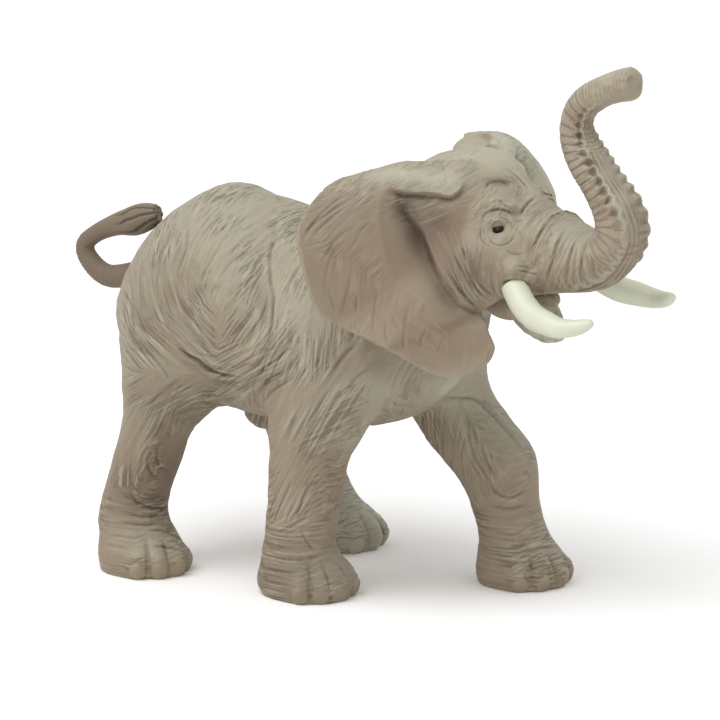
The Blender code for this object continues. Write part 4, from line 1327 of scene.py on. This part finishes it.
    def set_grain(self, flow: Points, strength: Field) -> None:
        """Share each point's fine grain among the fixed directions of the finish.

        The direction across the folds, seen from the side, falls between two of the fixed ones,
        and each gets the part that the other's distance leaves. The parts are then scaled so that
        their squares add up to one, which keeps the mixed noise equally strong everywhere.

        Args:
            flow: the folds' direction at each point.
            strength: how strongly the finest wrinkles show there, from 0 to 1.
        """
        across = np.cross(self.clay.normals, flow)
        turn = np.degrees(np.arctan2(across[:, 2], across[:, 0])) % 180
        flat = np.hypot(across[:, 0], across[:, 2])
        apart = 180 / GRAIN_TURNS
        shares = []
        for index in range(GRAIN_TURNS):
            gap = np.abs((turn - index * apart + 90) % 180 - 90)
            shares.append(np.clip(1 - gap / apart, 0, 1))
        shares = normalized(np.stack(shares, axis=1))
        flat = np.clip(flat * 1.2, 0, 1) * strength
        self.grain = np.concatenate([shares, flat[:, None]], axis=1)

    def find_flow(self, on_body: Field, on_head: Field, on_ears: Field) -> Points:
        """The folds' direction everywhere, spread from what either side of the photograph shows.

        Directions are added up as their outer products, which have no sign. The strongest
        direction of the spread product is then found by squaring it a few times. How far the
        directions agree goes into self.order.

        Args:
            on_body: 1 on the torso and legs.
            on_head: 1 on the head and trunk.
            on_ears: 1 on the ears.

        Returns:
            A unit vector in the surface for each point.
        """
        total = np.zeros((len(self.clay.points), 9), np.float32)
        for mirrored in (False, True):
            side = Side(self.clay, mirrored)
            for anchors, share in ((BODY_FLOW, on_body), (HEAD_FLOW, on_head), (EAR_FLOW, on_ears)):
                laid = side.flow(anchors, FLOW_REACH_PX)
                product = (laid[:, :, None] * laid[:, None, :]).reshape(-1, 9)
                total += product * (share * side.facing ** 2)[:, None]
        ankle = self.on(*LEGS) * (1 - eased(self.clay.points[:, 2], 14.0, 22.0))
        level = normalized(np.cross(self.clay.normals, (0.0, 0.0, 1.0)) + (0.0, 0.0, 0.08))
        product = (level[:, :, None] * level[:, None, :]).reshape(-1, 9)
        total = total * (1 - 0.9 * ankle[:, None]) + product * ankle[:, None]
        total = self.clay.spread(total + 1e-6, 30)
        square = total.reshape(-1, 3, 3)
        square /= np.trace(square, axis1=1, axis2=2)[:, None, None]
        self.order = eased((square ** 2).sum(axis=(1, 2)), 0.55, 0.85)
        for _ in range(6):
            square = square @ square
            square /= np.trace(square, axis1=1, axis2=2)[:, None, None]
        flow = square @ np.array([0.31, 0.47, 0.83])
        flow -= (flow * self.clay.normals).sum(axis=1)[:, None] * self.clay.normals
        return normalized(flow)

    def drawn(self, noise: Noise, flow: Points, grain_mm: float, length_mm: float) -> Field:
        """Noise averaged along the folds' direction, so that its swellings become long ridges.

        Each point takes the mean of samples along the flow, on the arc that the surface bends to.

        Args:
            noise: the relief to draw out.
            flow: the direction at each point.
            grain_mm: the noise's blur, which sets the ridges' spacing.
            length_mm: the ridges' length.

        Returns:
            The drawn noise, with a spread of one.
        """
        clay = self.clay
        total = np.zeros(len(clay.points))
        for share in np.linspace(-1, 1, 23):
            reach = share * length_mm / 2
            place = (clay.points + flow * reach
                     - clay.normals * (self.bend * reach * reach / 2)[:, None])
            total += noise.at(place, grain_mm) * (1 - share * share)
        total = clay.spread(total, 1)
        return total / total.std()

    def bending(self, flow: Points) -> Field:
        """The surface's curvature along the flow, by least squares over the edges at each point.

        Args:
            flow: the folds' direction at each point.

        Returns:
            How much the normal turns per millimetre.
        """
        first, second = self.clay.edges.T
        step = self.clay.points[second] - self.clay.points[first]
        turn = self.clay.normals[second] - self.clay.normals[first]
        size = len(self.clay.points)
        above, below = np.zeros(size), np.zeros(size)
        for ends in (first, second):
            along = (step * flow[ends]).sum(axis=1)
            above += np.bincount(ends, (turn * flow[ends]).sum(axis=1) * along, size)
            below += np.bincount(ends, along * along, size)
        return np.clip(self.clay.spread(above / np.maximum(below, 1e-6), 10), -0.1, 0.1)

    def mix_paint(self) -> None:
        """Where the dark wash stays and where the dry brush catches, from the relief.

        Each sum's factors say how strongly a cause counts: the lines, how far a point lies below
        or above the surface round it, how far it faces up, and the casting it belongs to. The layers
        also carry painted light and shade: tops are paler and greyer, ovals are painted darker where
        shade falls and paler where light falls, and the far hind leg, which stands in shade, is painted
        paler.
        """
        clay = self.clay
        fine = clay.hollow(3)
        middle = clay.hollow(20)
        # Ovals of painted shade, and one painted lighter.
        painted_shading = self.both(PAINTED_SHADING)
        # How far a point faces up: tops are painted paler and greyer, a painted light.
        above = eased(clay.normals[:, 2], 0.05, 0.95)
        on_ears = self.on(*EARS)
        ears, tail = np.clip(on_ears, 0, 1), self.masks[Casting.TAIL]
        brushed_and_lit = self.both(PAINTED_LIGHT)
        # The far hind leg stands in the figure's own shade; its paint is made paler and warmer to make
        # up for that, a painted light.
        far_hind = self.masks[Casting.HIND_LEFT_LEG]
        wash_and_shade = 0.62 * self.lines + 0.22 * eased(fine, 0.02, 0.12) + 0.55 * eased(middle, 0.05, 0.6)
        wash_and_shade += 0.6 * painted_shading + 0.28 * tail - 0.6 * far_hind
        brush_and_light = 0.22 * eased(-fine, 0.015, 0.08) + 0.4 * eased(-middle, 0.03, 0.5)
        # Painted light on the tops, less on the near ear and none on the tail.
        brush_and_light += 0.30 * above * (1 - 0.65 * self.masks[Casting.RIGHT_EAR]) * (1 - tail)
        brush_and_light += 0.70 * eased(-middle, 0.25, 0.7) * ears + 0.6 * far_hind + brushed_and_lit
        brush_and_light += 0.45 * self.masks[Casting.TRUNK] * eased(-self.lines, -0.15, 0.1)
        # Painted light: the far ear's front is paler where it faces forward.
        brush_and_light += 0.65 * self.masks[Casting.LEFT_EAR] * eased(clay.normals[:, 0], -0.1, 0.5)
        brush_and_light = np.where(self.lines > 0.5, 0.3 * brush_and_light, brush_and_light)
        # The warm coat: warmer in hollows and below and greyer on top, painted shade and light; warmer
        # on the ears and the far hind leg, less so on the torso.
        tint = 0.60 + 0.35 * eased(middle, -0.3, 0.4) - 0.4 * above + 0.25 * ears
        tint += 0.80 * far_hind - 0.30 * self.masks[Casting.TORSO]
        self.paint = np.clip(np.stack([wash_and_shade, brush_and_light, tint, 0.25 * self.nails], axis=1), 0, 1)

    def part(self) -> list[bpy.types.Object]:
        """Part the hide into its castings, the torso in two halves, and close each one.

        Returns:
            The closed pieces.
        """
        order = list(Casting)
        labels = self.member.copy()
        halves = len(order)
        labels[(labels == order.index(Casting.TORSO)) & (self.clay.points[:, 1] > 0)] = halves
        faces = self.settle_faces(np.sort(labels[self.clay.triangles], axis=1)[:, 1], halves + 1)
        pieces = []
        for label in range(halves + 1):
            name = order[label % halves].value
            if label in (0, halves):
                name += "_left" if label else "_right"
            piece = self.close(name, self.clay.triangles[faces == label])
            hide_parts(order[label % halves].value)
            pieces.append(piece)
        return pieces

    def settle_faces(self, faces: Field, kinds: int) -> Field:
        """Make the borders between the shares plain lines that never touch themselves.

        A triangle takes the label that two of its neighbours have. Then, round a point where one
        share's border passes twice, all triangles take that share's label.

        Args:
            faces: each triangle's label.
            kinds: how many labels there are.

        Returns:
            The settled labels.
        """
        triangles = self.clay.triangles
        count = len(triangles)
        sides = np.sort(np.concatenate([triangles[:, [0, 1]], triangles[:, [1, 2]],
                                        triangles[:, [2, 0]]]), axis=1)
        order = np.lexsort((sides[:, 1], sides[:, 0]))
        other = np.empty(3 * count, int)
        other[order[0::2]], other[order[1::2]] = order[1::2] % count, order[0::2] % count
        near = other.reshape(3, count).T
        for _ in range(6):
            theirs = faces[near]
            for one, two in ((0, 1), (1, 2), (0, 2)):
                faces = np.where(theirs[:, one] == theirs[:, two], theirs[:, one], faces)
        for _ in range(12):
            cut = faces[near] != faces[:, None]
            owner = np.broadcast_to(faces[:, None], cut.shape)[cut]
            passed, times = np.unique(triangles[cut].astype(int) * kinds + owner,
                                      return_counts=True)
            twice = passed[times > 1]
            if not len(twice):
                break
            wanted = np.full(len(self.clay.points), -1)
            wanted[twice // kinds] = twice % kinds
            taken = wanted[triangles].max(axis=1)
            faces = np.where(taken >= 0, taken, faces)
        return faces

    def close(self, name: str, triangles: Points) -> bpy.types.Object:
        """One closed piece from its share of the hide.

        The open border is drawn in under the skin, evened out and filled there, so that nothing of
        the filling shows.

        Args:
            name: the casting's name.
            triangles: its share of the hide's triangles.

        Returns:
            The new object.
        """
        used, corners = np.unique(triangles, return_inverse=True)
        corners = corners.reshape(-1, 3)
        points, normals = self.clay.points[used], self.clay.normals[used]
        count = len(used)
        directed = np.concatenate([corners[:, [0, 1]], corners[:, [1, 2]], corners[:, [2, 0]]])
        single = ~np.isin(directed[:, 0] * count + directed[:, 1],
                          directed[:, 1] * count + directed[:, 0])
        border = directed[single]
        rim, places = np.unique(border, return_inverse=True)
        places = places.reshape(-1, 2)
        inner = points[rim] - self.tuck_mm * normals[rim]
        for _ in range(self.tuck_rounds):
            total = np.zeros_like(inner)
            np.add.at(total, places[:, 0], inner[places[:, 1]])
            np.add.at(total, places[:, 1], inner[places[:, 0]])
            inner = 0.5 * inner + 0.25 * total
        strip = np.stack([border[:, 1], border[:, 0], places[:, 0] + count,
                          places[:, 1] + count], axis=1)
        mesh = bpy.data.meshes.new(name)
        mesh.from_pydata((np.vstack([points, inner]) * MM).tolist(), [],
                         corners.tolist() + strip.tolist())
        bm = bmesh.new()
        bm.from_mesh(mesh)
        open_edges = [edge for edge in bm.edges if edge.is_boundary]
        bmesh.ops.holes_fill(bm, edges=open_edges, sides=0)
        bmesh.ops.triangulate(bm, faces=[face for face in bm.faces if len(face.verts) > 3])
        left = sum(not edge.is_manifold for edge in bm.edges)
        bm.to_mesh(mesh)
        bm.free()
        mesh.shade_smooth()
        store(mesh, "paint", self.paint[used])
        store(mesh, "grain_low", self.grain[used][:, [0, 1, 2, 6]])
        store(mesh, "grain_high", self.grain[used][:, 3:6])
        mesh.normals_split_custom_set_from_vertices(np.vstack([normals, normals[rim]]).tolist())
        piece = bpy.data.objects.new(name + "_hide", mesh)
        bpy.context.scene.collection.objects.link(piece)
        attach(piece, BODY)
        LOG.info("%s: %d triangles, %d open edges", name, len(mesh.polygons), left)
        return piece


@dataclass
class Jaw:
    """The lower jaw, a casting of its own with a rounded lip."""

    grain_mm: float = 0.35
    fold_grain_mm: float = 0.6
    fold_mm: float = 0.10
    fold_line_mm: float = 0.12

    def build(self) -> bpy.types.Object:
        """Melt a copy of the jaw, wrinkle it and paint it.

        Returns:
            The new object.
        """
        mesh = melted(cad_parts["lower_jaw"].data, self.grain_mm)
        mesh.materials.clear()
        clay = Clay(mesh)
        clay.relax(10)
        stretched = clay.points * (0.5, 1.0, 1.0)
        folds = Noise(21).at(stretched, self.fold_grain_mm)
        clay.push(self.fold_mm * folds - self.fold_line_mm * bell(folds, 0.5))
        mesh.vertices.foreach_set("co", (clay.points * MM).ravel())
        # Darker along the fold lines and a little on top, and paler towards the front.
        above = eased(clay.normals[:, 2], 0.2, 0.9)
        wash_and_shade = np.clip(0.22 * bell(folds, 0.5) + 0.10 * above, 0, 1)
        brush_and_light = np.clip(0.45 + 0.5 * eased(clay.normals[:, 0], -0.1, 0.7) - wash_and_shade, 0, 1)
        store(mesh, "paint", np.stack([wash_and_shade, brush_and_light, np.full(len(wash_and_shade), 0.4)], axis=1))
        store(mesh, "grain_low", np.tile((0.0, 0.0, 0.5, 0.3), (len(wash_and_shade), 1)))
        store(mesh, "grain_high", np.tile((0.5, 0.0, 0.0), (len(wash_and_shade), 1)))
        mesh.shade_smooth()
        piece = bpy.data.objects.new("lower_jaw_hide", mesh)
        bpy.context.scene.collection.objects.link(piece)
        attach(piece, BODY)
        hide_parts("lower_jaw")
        return piece


def grid_piece(name: str, points: Points, node: str,
               material: bpy.types.Material) -> bpy.types.Object:
    """A closed tube from rings of points, with a point at either end.

    Args:
        name: the piece's name.
        points: rings by places round the ring by x, y, z, in millimetres. Each ring runs
            anticlockwise as seen against the direction of travel.
        node: the CAD node that it replaces.
        material: its finish.

    Returns:
        The new object.
    """
    rings, count = points.shape[:2]
    ends = np.stack([points[0].mean(axis=0), points[-1].mean(axis=0)])
    index = np.arange(rings * count).reshape(rings, count)
    following = np.roll(index, -1, axis=1)
    walls = np.stack([index[:-1], following[:-1], following[1:], index[1:]], axis=-1)
    first = np.stack([following[0], index[0], np.full(count, rings * count)], axis=-1)
    last = np.stack([index[-1], following[-1], np.full(count, rings * count + 1)], axis=-1)
    mesh = bpy.data.meshes.new(name)
    mesh.from_pydata((np.vstack([points.reshape(-1, 3), ends]) * MM).tolist(), [],
                     walls.reshape(-1, 4).tolist() + first.tolist() + last.tolist())
    bm = bmesh.new()
    bm.from_mesh(mesh)
    bmesh.ops.recalc_face_normals(bm, faces=bm.faces)
    bm.to_mesh(mesh)
    bm.free()
    mesh.shade_smooth()
    mesh.materials.append(material)
    piece = bpy.data.objects.new(name, mesh)
    bpy.context.scene.collection.objects.link(piece)
    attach(piece, BODY)
    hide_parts(node)
    return piece


@dataclass
class Tusks:
    """Two curved ivory-coloured tusks that taper to a blunt point."""

    root_mm: tuple[float, float, float] = (57.8, 14.0, 84.4)
    length_mm: float = 30.0
    radius_mm: float = 3.2
    butt_mm: float = 1.6
    point_mm: float = 0.9
    shares: tuple[tuple[float, float, float, float], ...] = (
        (-0.040, -0.015, 0.045, 0.86), (0.010, 0.004, -0.006, 1.00), (0.133, 0.067, -0.103, 1.02),
        (0.277, 0.117, -0.177, 1.00), (0.423, 0.150, -0.203, 0.94), (0.567, 0.167, -0.220, 0.80),
        (0.687, 0.140, -0.210, 0.66), (0.780, 0.107, -0.183, 0.52), (0.853, 0.077, -0.147, 0.25))

    def build(self, material: bpy.types.Material) -> None:
        """Carry a ring along each tusk's curve, rounded off at both ends.

        A ring's radius is the row's share of the greatest one, times a quarter circle's rise at
        either end.

        Args:
            material: the ivory finish.
        """
        rows = flowing(np.array(self.shares), 10)
        steps = np.linspace(0, 2 * math.pi, 48, endpoint=False)
        for side, word in zip(SIDES, ("right", "left")):
            path = np.array(self.root_mm) * (1, side, 1) \
                + rows[:, :3] * self.length_mm * (1, side, 1)
            ahead = normalized(np.gradient(path, axis=0))
            upward = normalized(np.cross(ahead, np.cross((0.0, 0.0, 1.0), ahead)))
            across = np.cross(ahead, upward)
            steps_mm = np.linalg.norm(np.diff(path, axis=0), axis=1)
            travelled = np.concatenate([[0], np.cumsum(steps_mm)])
            start = np.clip(travelled / self.butt_mm, 0, 1)
            end = np.clip((travelled[-1] - travelled) / self.point_mm, 0, 1)
            blunt, point = np.sqrt(start * (2 - start)), np.sqrt(end * (2 - end))
            growth = 1 + 0.006 * np.sin(travelled * 2.1) * eased(travelled, 2, 8)
            radius = rows[:, 3] * self.radius_mm * np.maximum(blunt * point, 0.02) * growth
            rings = (path[:, None] + radius[:, None, None]
                     * (np.cos(steps)[None, :, None] * across[:, None]
                        + np.sin(steps)[None, :, None] * upward[:, None]))
            grid_piece(f"{word}_tusk_ivory", rings, f"{word}_tusk", material)


def build_eyeballs(material: bpy.types.Material) -> None:
    """The two eyeballs: each a ball whose front stands a little above its socket.

    Args:
        material: the eye's finish.
    """
    turns = np.linspace(0, 2 * math.pi, 40, endpoint=False)
    levels = np.linspace(0.04, math.pi - 0.04, 24)
    for side, word in zip(SIDES, ("right", "left")):
        flip = np.array([1, -side, 1])
        outward = EYES.outward * flip
        middle = EYES.place * flip - outward * (EYES.radius_mm - EYES.bulge_mm)
        upward = normalized(np.array([0, 0, 1.0]) - outward * outward[2])
        across = np.cross(outward, upward)
        rings = (middle + EYES.radius_mm
                 * (np.cos(levels)[:, None, None] * outward
                    + np.sin(levels)[:, None, None]
                    * (np.cos(turns)[None, :, None] * across
                       + np.sin(turns)[None, :, None] * upward)))
        piece = grid_piece(f"{word}_eyeball", rings, f"{word}_eye", material)
        centre = piece.data.attributes.new("aside", "FLOAT", "POINT")
        place = np.empty(len(piece.data.vertices) * 3)
        piece.data.vertices.foreach_get("co", place)
        offset = place.reshape(-1, 3) / MM - middle
        aside = np.linalg.norm(offset - (offset @ outward)[:, None] * outward, axis=1)
        centre.data.foreach_set("value", (aside / EYES.radius_mm).astype(np.float32))


def linear(code: str) -> tuple[float, float, float, float]:
    """An sRGB hex colour as linear light, by the sRGB curve."""
    values = [int(code[place:place + 2], 16) / 255 for place in (1, 3, 5)]
    return (*[v / 12.92 if v <= 0.04045 else ((v + 0.055) / 1.055) ** 2.4 for v in values], 1.0)


def add_node(tree: bpy.types.NodeTree, kind: str, settings: dict | None = None,
             links: dict | None = None) -> bpy.types.Node:
    """Add a node to a material.

    Args:
        tree: the material's nodes.
        kind: the node's Blender type.
        settings: properties by name, or values of input sockets by their name or place.
        links: output sockets that feed this node's inputs, by input name or place.

    Returns:
        The new node.
    """
    node = tree.nodes.new(kind)
    for name, value in (settings or {}).items():
        if isinstance(name, str) and hasattr(node, name):
            setattr(node, name, value)
        else:
            node.inputs[name].default_value = value
    for name, socket in (links or {}).items():
        tree.links.new(socket, node.inputs[name])
    return node


def empty_material(name: str) -> bpy.types.Material:
    """A material whose nodes are still to be added.

    Args:
        name: the material's name.

    Returns:
        The material.
    """
    material = bpy.data.materials.new(name)
    material.use_nodes = True
    material.node_tree.nodes.clear()
    return material


@dataclass(frozen=True)
class HidePaint:
    """Matt acrylic over moulded soft plastic: a grey-brown coat, a dark wash and a dry brush."""

    # The real hide gives the eye almost no gloss. Its coat is warmer below and greyer on top, a painted
    # shade and light, the hollows and the lines are brown, and the ridges have caught a pale, chalky
    # grey. The wash and the brush also carry painted shade and painted light from ovals and from facing.

    coat: str = "#9E9580"
    # The coat's warm copy: painted shade below and in hollows, and random warmer patches.
    warm: str = "#988571"
    # The wash's brown, in the lines and hollows, and painted shade in ovals.
    wash_and_shade: str = "#564538"
    # The dry brush's grey on the ridges, and painted light on the tops and in ovals.
    brush_and_light: str = "#BDBBA8"
    crest: str = "#C4BFAD"
    nail: str = "#A99C84"
    roughness: float = 0.62
    mottle_mm: float = 6.25
    line_spacing_mm: float = 0.62
    line_length_mm: float = 15.0
    line_span_mm: float = 5.0
    streak_start: float = 0.16
    streak_full: float = 0.34
    ink_share: float = 0.46
    crest_share: float = 0.42
    bump_mm: float = 0.11

    def material(self) -> bpy.types.Material:
        """Lay the coats over one another by the paint attribute, mottle them and draw the lines.

        Returns:
            The material.
        """
        made = empty_material("moulded_plastic_hide")
        tree = made.node_tree
        paint = add_node(tree, "ShaderNodeAttribute", {"attribute_name": "paint"})
        layers = add_node(tree, "ShaderNodeSeparateColor", links={0: paint.outputs["Color"]})
        place = add_node(tree, "ShaderNodeTexCoord").outputs["Object"]
        cloud = add_node(tree, "ShaderNodeTexNoise", {"Scale": 1 / (self.mottle_mm * MM), "Detail": 4.0},
                         {"Vector": place})
        uneven = add_node(tree, "ShaderNodeMapRange",
                          {"From Min": 0.3, "From Max": 0.7, "To Min": -0.16, "To Max": 0.16},
                          {"Value": cloud.outputs["Fac"]})
        # The blue layer takes the coat to its warm copy: painted shade below and in hollows, mottled at
        # random.
        warmth = add_node(tree, "ShaderNodeMath", {"operation": "ADD", "use_clamp": True},
                          {0: layers.outputs["Blue"], 1: uneven.outputs[0]})
        coat = add_node(tree, "ShaderNodeMix", {"data_type": "RGBA", 6: linear(self.coat),
                                                7: linear(self.warm)}, {0: warmth.outputs[0]})
        nailed = add_node(tree, "ShaderNodeMix", {"data_type": "RGBA", 7: linear(self.nail)},
                          {0: paint.outputs["Alpha"], 6: coat.outputs[2]})
        # The green layer: dry brush on the ridges, and painted light.
        brushed_and_lit = add_node(tree, "ShaderNodeMix", {"data_type": "RGBA", 7: linear(self.brush_and_light)},
                           {0: layers.outputs["Green"], 6: nailed.outputs[2]})
        # The red layer: wash in the lines and hollows, and painted shade.
        washed_and_shaded = add_node(tree, "ShaderNodeMix", {"data_type": "RGBA", 7: linear(self.wash_and_shade)},
                          {0: layers.outputs["Red"], 6: brushed_and_lit.outputs[2]})
        dark, pale = self.lines(tree, place)
        inked = add_node(tree, "ShaderNodeMath", {"operation": "MULTIPLY", 1: self.ink_share},
                         {0: dark})
        ink = add_node(tree, "ShaderNodeMix", {"data_type": "RGBA", 7: linear(self.wash_and_shade)},
                       {0: inked.outputs[0], 6: washed_and_shaded.outputs[2]})
        caught = add_node(tree, "ShaderNodeMath", {"operation": "MULTIPLY", 1: self.crest_share},
                          {0: pale})
        crest = add_node(tree, "ShaderNodeMix", {"data_type": "RGBA", 7: linear(self.crest)},
                         {0: caught.outputs[0], 6: ink.outputs[2]})
        relief = add_node(tree, "ShaderNodeMath", {"operation": "SUBTRACT"}, {0: pale, 1: dark})
        bump = add_node(tree, "ShaderNodeBump", {"Strength": 1.0, "Distance": self.bump_mm * MM},
                        {"Height": relief.outputs[0]})
        shader = add_node(tree, "ShaderNodeBsdfPrincipled",
                          {"Roughness": self.roughness, "Specular IOR Level": 0.35},
                          {"Base Color": crest.outputs[2], "Normal": bump.outputs["Normal"]})
        add_node(tree, "ShaderNodeOutputMaterial", links={0: shader.outputs[0]})
        return made

    def lines(self, tree: bpy.types.NodeTree, place: bpy.types.NodeSocket) \
            -> tuple[bpy.types.NodeSocket, bpy.types.NodeSocket]:
        """The finest wrinkles, as long thin lines in the skin's own direction at each point.

        Each of the fixed directions has a noise that is drawn out along it, and the grain
        attributes say how much each counts. Where the mixed noise is far below its mean a groove
        runs, and where it is far above a crest.

        Args:
            tree: the material's nodes.
            place: the Object coordinates.

        Returns:
            The sockets that are 1 in the middle of a groove, and of a crest.
        """
        low = add_node(tree, "ShaderNodeAttribute", {"attribute_name": "grain_low"})
        high = add_node(tree, "ShaderNodeAttribute", {"attribute_name": "grain_high"})
        parted = [add_node(tree, "ShaderNodeSeparateColor", links={0: half.outputs["Color"]})
                  for half in (low, high)]
        shares = [socket for half in parted for socket in half.outputs]
        nothing, so_far = {2: 0.0}, {}
        for index, share in enumerate(shares):
            turned = add_node(tree, "ShaderNodeMapping", {
                "vector_type": "TEXTURE",
                "Rotation": (0.0, -index * math.pi / GRAIN_TURNS, 0.0),
                "Scale": (self.line_spacing_mm * MM, self.line_span_mm * MM,
                          self.line_length_mm * MM)}, {"Vector": place})
            cloud = add_node(tree, "ShaderNodeTexNoise",
                             {"normalize": False, "Scale": 1.0, "Detail": 1.0},
                             {"Vector": turned.outputs[0]})
            total = add_node(tree, "ShaderNodeMath", {"operation": "MULTIPLY_ADD"} | nothing,
                             {0: cloud.outputs["Fac"], 1: share} | so_far)
            nothing, so_far = {}, {2: total.outputs[0]}
        sockets = []
        for start, full in ((-self.streak_start, -self.streak_full),
                            (self.streak_start, self.streak_full)):
            line = add_node(tree, "ShaderNodeMapRange", {
                "interpolation_type": "SMOOTHSTEP", "From Min": start, "From Max": full},
                {"Value": total.outputs[0]})
            strong = add_node(tree, "ShaderNodeMath", {"operation": "MULTIPLY"},
                              {0: line.outputs[0], 1: low.outputs["Alpha"]})
            sockets.append(strong.outputs[0])
        return sockets[0], sockets[1]


@dataclass(frozen=True)
class IvoryPaint:
    """Cream satin paint over moulded hard plastic."""

    # The real tusk is smooth. It gives the eye a soft broad sheen and a slight green cast.

    pale: str = "#E6E9D5"
    deep: str = "#D2D6BA"
    cloud_mm: float = 7.5
    roughness: float = 0.38

    def material(self) -> bpy.types.Material:
        """Two creams that change over in slow clouds.

        Returns:
            The material.
        """
        made = empty_material("painted_ivory")
        tree = made.node_tree
        place = add_node(tree, "ShaderNodeTexCoord").outputs["Object"]
        cloud = add_node(tree, "ShaderNodeTexNoise", {"Scale": 1 / (self.cloud_mm * MM), "Detail": 2.0},
                         {"Vector": place})
        colour = add_node(tree, "ShaderNodeMix", {"data_type": "RGBA", 6: linear(self.pale),
                                                  7: linear(self.deep)},
                          {0: cloud.outputs["Fac"]})
        shader = add_node(tree, "ShaderNodeBsdfPrincipled",
                          {"Roughness": self.roughness}, {"Base Color": colour.outputs[2]})
        add_node(tree, "ShaderNodeOutputMaterial", links={0: shader.outputs[0]})
        return made


@dataclass(frozen=True)
class EyePaint:
    """Gloss paint on the eyeball: a black rim, a brown iris and a black pupil."""

    # The real eye is a nearly black bead with one small sharp highlight.

    rim: str = "#0F0B08"
    iris: str = "#36251A"
    pupil: str = "#080605"
    roughness: float = 0.16

    def material(self) -> bpy.types.Material:
        """Three rings by how far a point lies aside of the eye's axis.

        Returns:
            The material.
        """
        made = empty_material("gloss_eye_paint")
        tree = made.node_tree
        aside = add_node(tree, "ShaderNodeAttribute", {"attribute_name": "aside"})
        outer = add_node(tree, "ShaderNodeMapRange", {"From Min": 0.42, "From Max": 0.55},
                         {"Value": aside.outputs["Fac"]})
        inner = add_node(tree, "ShaderNodeMapRange",
                         {"From Min": 0.16, "From Max": 0.24, "To Min": 1.0, "To Max": 0.0},
                         {"Value": aside.outputs["Fac"]})
        ringed = add_node(tree, "ShaderNodeMix", {"data_type": "RGBA", 6: linear(self.iris),
                                                  7: linear(self.rim)}, {0: outer.outputs[0]})
        colour = add_node(tree, "ShaderNodeMix", {"data_type": "RGBA", 7: linear(self.pupil)},
                          {0: inner.outputs[0], 6: ringed.outputs[2]})
        shader = add_node(tree, "ShaderNodeBsdfPrincipled",
                          {"Roughness": self.roughness, "Specular IOR Level": 0.2},
                          {"Base Color": colour.outputs[2]})
        add_node(tree, "ShaderNodeOutputMaterial", links={0: shader.outputs[0]})
        return made


@dataclass(frozen=True)
class Studio:
    """A white sweep and soft light, with levels at which a colour renders about as written."""

    floor_m: float = 3.0
    world_level: float = 0.73
    key_watts: float = 3.9
    key_size_m: float = 0.7
    lamp_m: tuple[float, float, float] = (-0.10, -0.45, 0.85)
    lit_m: tuple[float, float, float] = (0.0, 0.0, 0.05)
    bounce: float = 0.9
    paper: float = 1.18

    def build(self) -> None:
        """Make the floor, the world and the lamp."""
        scene = bpy.context.scene
        scene.view_settings.view_transform = "Standard"
        self.light_world(scene)
        self.lay_floor()
        lamp = bpy.data.lights.new("soft_box", "AREA")
        lamp.shape = "SQUARE"
        lamp.size = self.key_size_m
        lamp.energy = self.key_watts
        box = bpy.data.objects.new("soft_box", lamp)
        scene.collection.objects.link(box)
        box.location = self.lamp_m
        box.rotation_mode = "QUATERNION"
        box.rotation_quaternion = (box.location - Vector(self.lit_m)).to_track_quat("Z", "Y")

    def clear_rays(self, tree: bpy.types.NodeTree) -> bpy.types.NodeSocket:
        """Tell the rays that see the background, in gloss and through glass too, from the rest.

        Args:
            tree: the nodes to add to.

        Returns:
            A socket that is 1 for those rays and 0 for the light that falls on the object.
        """
        path = add_node(tree, "ShaderNodeLightPath")
        seen = add_node(tree, "ShaderNodeMath", {"operation": "ADD"},
                        {0: path.outputs["Is Camera Ray"], 1: path.outputs["Is Glossy Ray"]})
        clear = add_node(tree, "ShaderNodeMath", {"operation": "ADD", "use_clamp": True},
                         {0: seen.outputs[0], 1: path.outputs["Is Transmission Ray"]})
        return clear.outputs[0]

    def light_world(self, scene: bpy.types.Scene) -> None:
        """White to the camera and in gloss, and a plain level to everything else.

        Args:
            scene: the scene that gets the world.
        """
        world = bpy.data.worlds.new("studio")
        scene.world = world
        world.use_nodes = True
        tree = world.node_tree
        tree.nodes.clear()
        clear = self.clear_rays(tree)
        level = add_node(tree, "ShaderNodeMix", {2: self.world_level, 3: 1.0}, {0: clear})
        light = add_node(tree, "ShaderNodeBackground", {"Color": (1, 1, 1, 1)},
                         {"Strength": level.outputs[0]})
        add_node(tree, "ShaderNodeOutputWorld", links={0: light.outputs[0]})

    def lay_floor(self) -> None:
        """A wide level sheet under the soles, white to the camera but for the shadow on it.

        Its brightness to the camera makes up for the plain light level, so that it renders white.
        """
        half = self.floor_m / 2
        mesh = bpy.data.meshes.new("floor")
        mesh.from_pydata([(-half, -half, 0), (half, -half, 0), (half, half, 0), (-half, half, 0)],
                         [], [(0, 1, 2, 3)])
        floor = bpy.data.objects.new("floor", mesh)
        bpy.context.scene.collection.objects.link(floor)
        # Real paper in soft light gives the eye plain white, with no gloss and no visible edge.
        material = empty_material("white_paper")
        tree = material.node_tree
        colour = add_node(tree, "ShaderNodeMix",
                          {"data_type": "RGBA", 6: (self.bounce,) * 3 + (1.0,),
                           7: (self.paper,) * 3 + (1.0,)}, {0: self.clear_rays(tree)})
        paper = add_node(tree, "ShaderNodeBsdfDiffuse", links={0: colour.outputs[2]})
        add_node(tree, "ShaderNodeOutputMaterial", links={0: paper.outputs[0]})
        mesh.materials.append(material)


def main() -> None:
    """Build the figure's looks in order and report each piece."""
    logging.basicConfig(level=logging.INFO, format="%(relativeCreated)d %(message)s")
    VIEW.place_camera()
    Studio().build()
    grey = HidePaint().material()
    hide = Hide()
    for piece in hide.build():
        piece.data.materials.append(grey)
    Jaw().build().data.materials.append(grey)
    Tusks().build(IvoryPaint().material())
    build_eyeballs(EyePaint().material())
    LOG.info("tusks and eyes done")


if __name__ == "__main__":
    main()
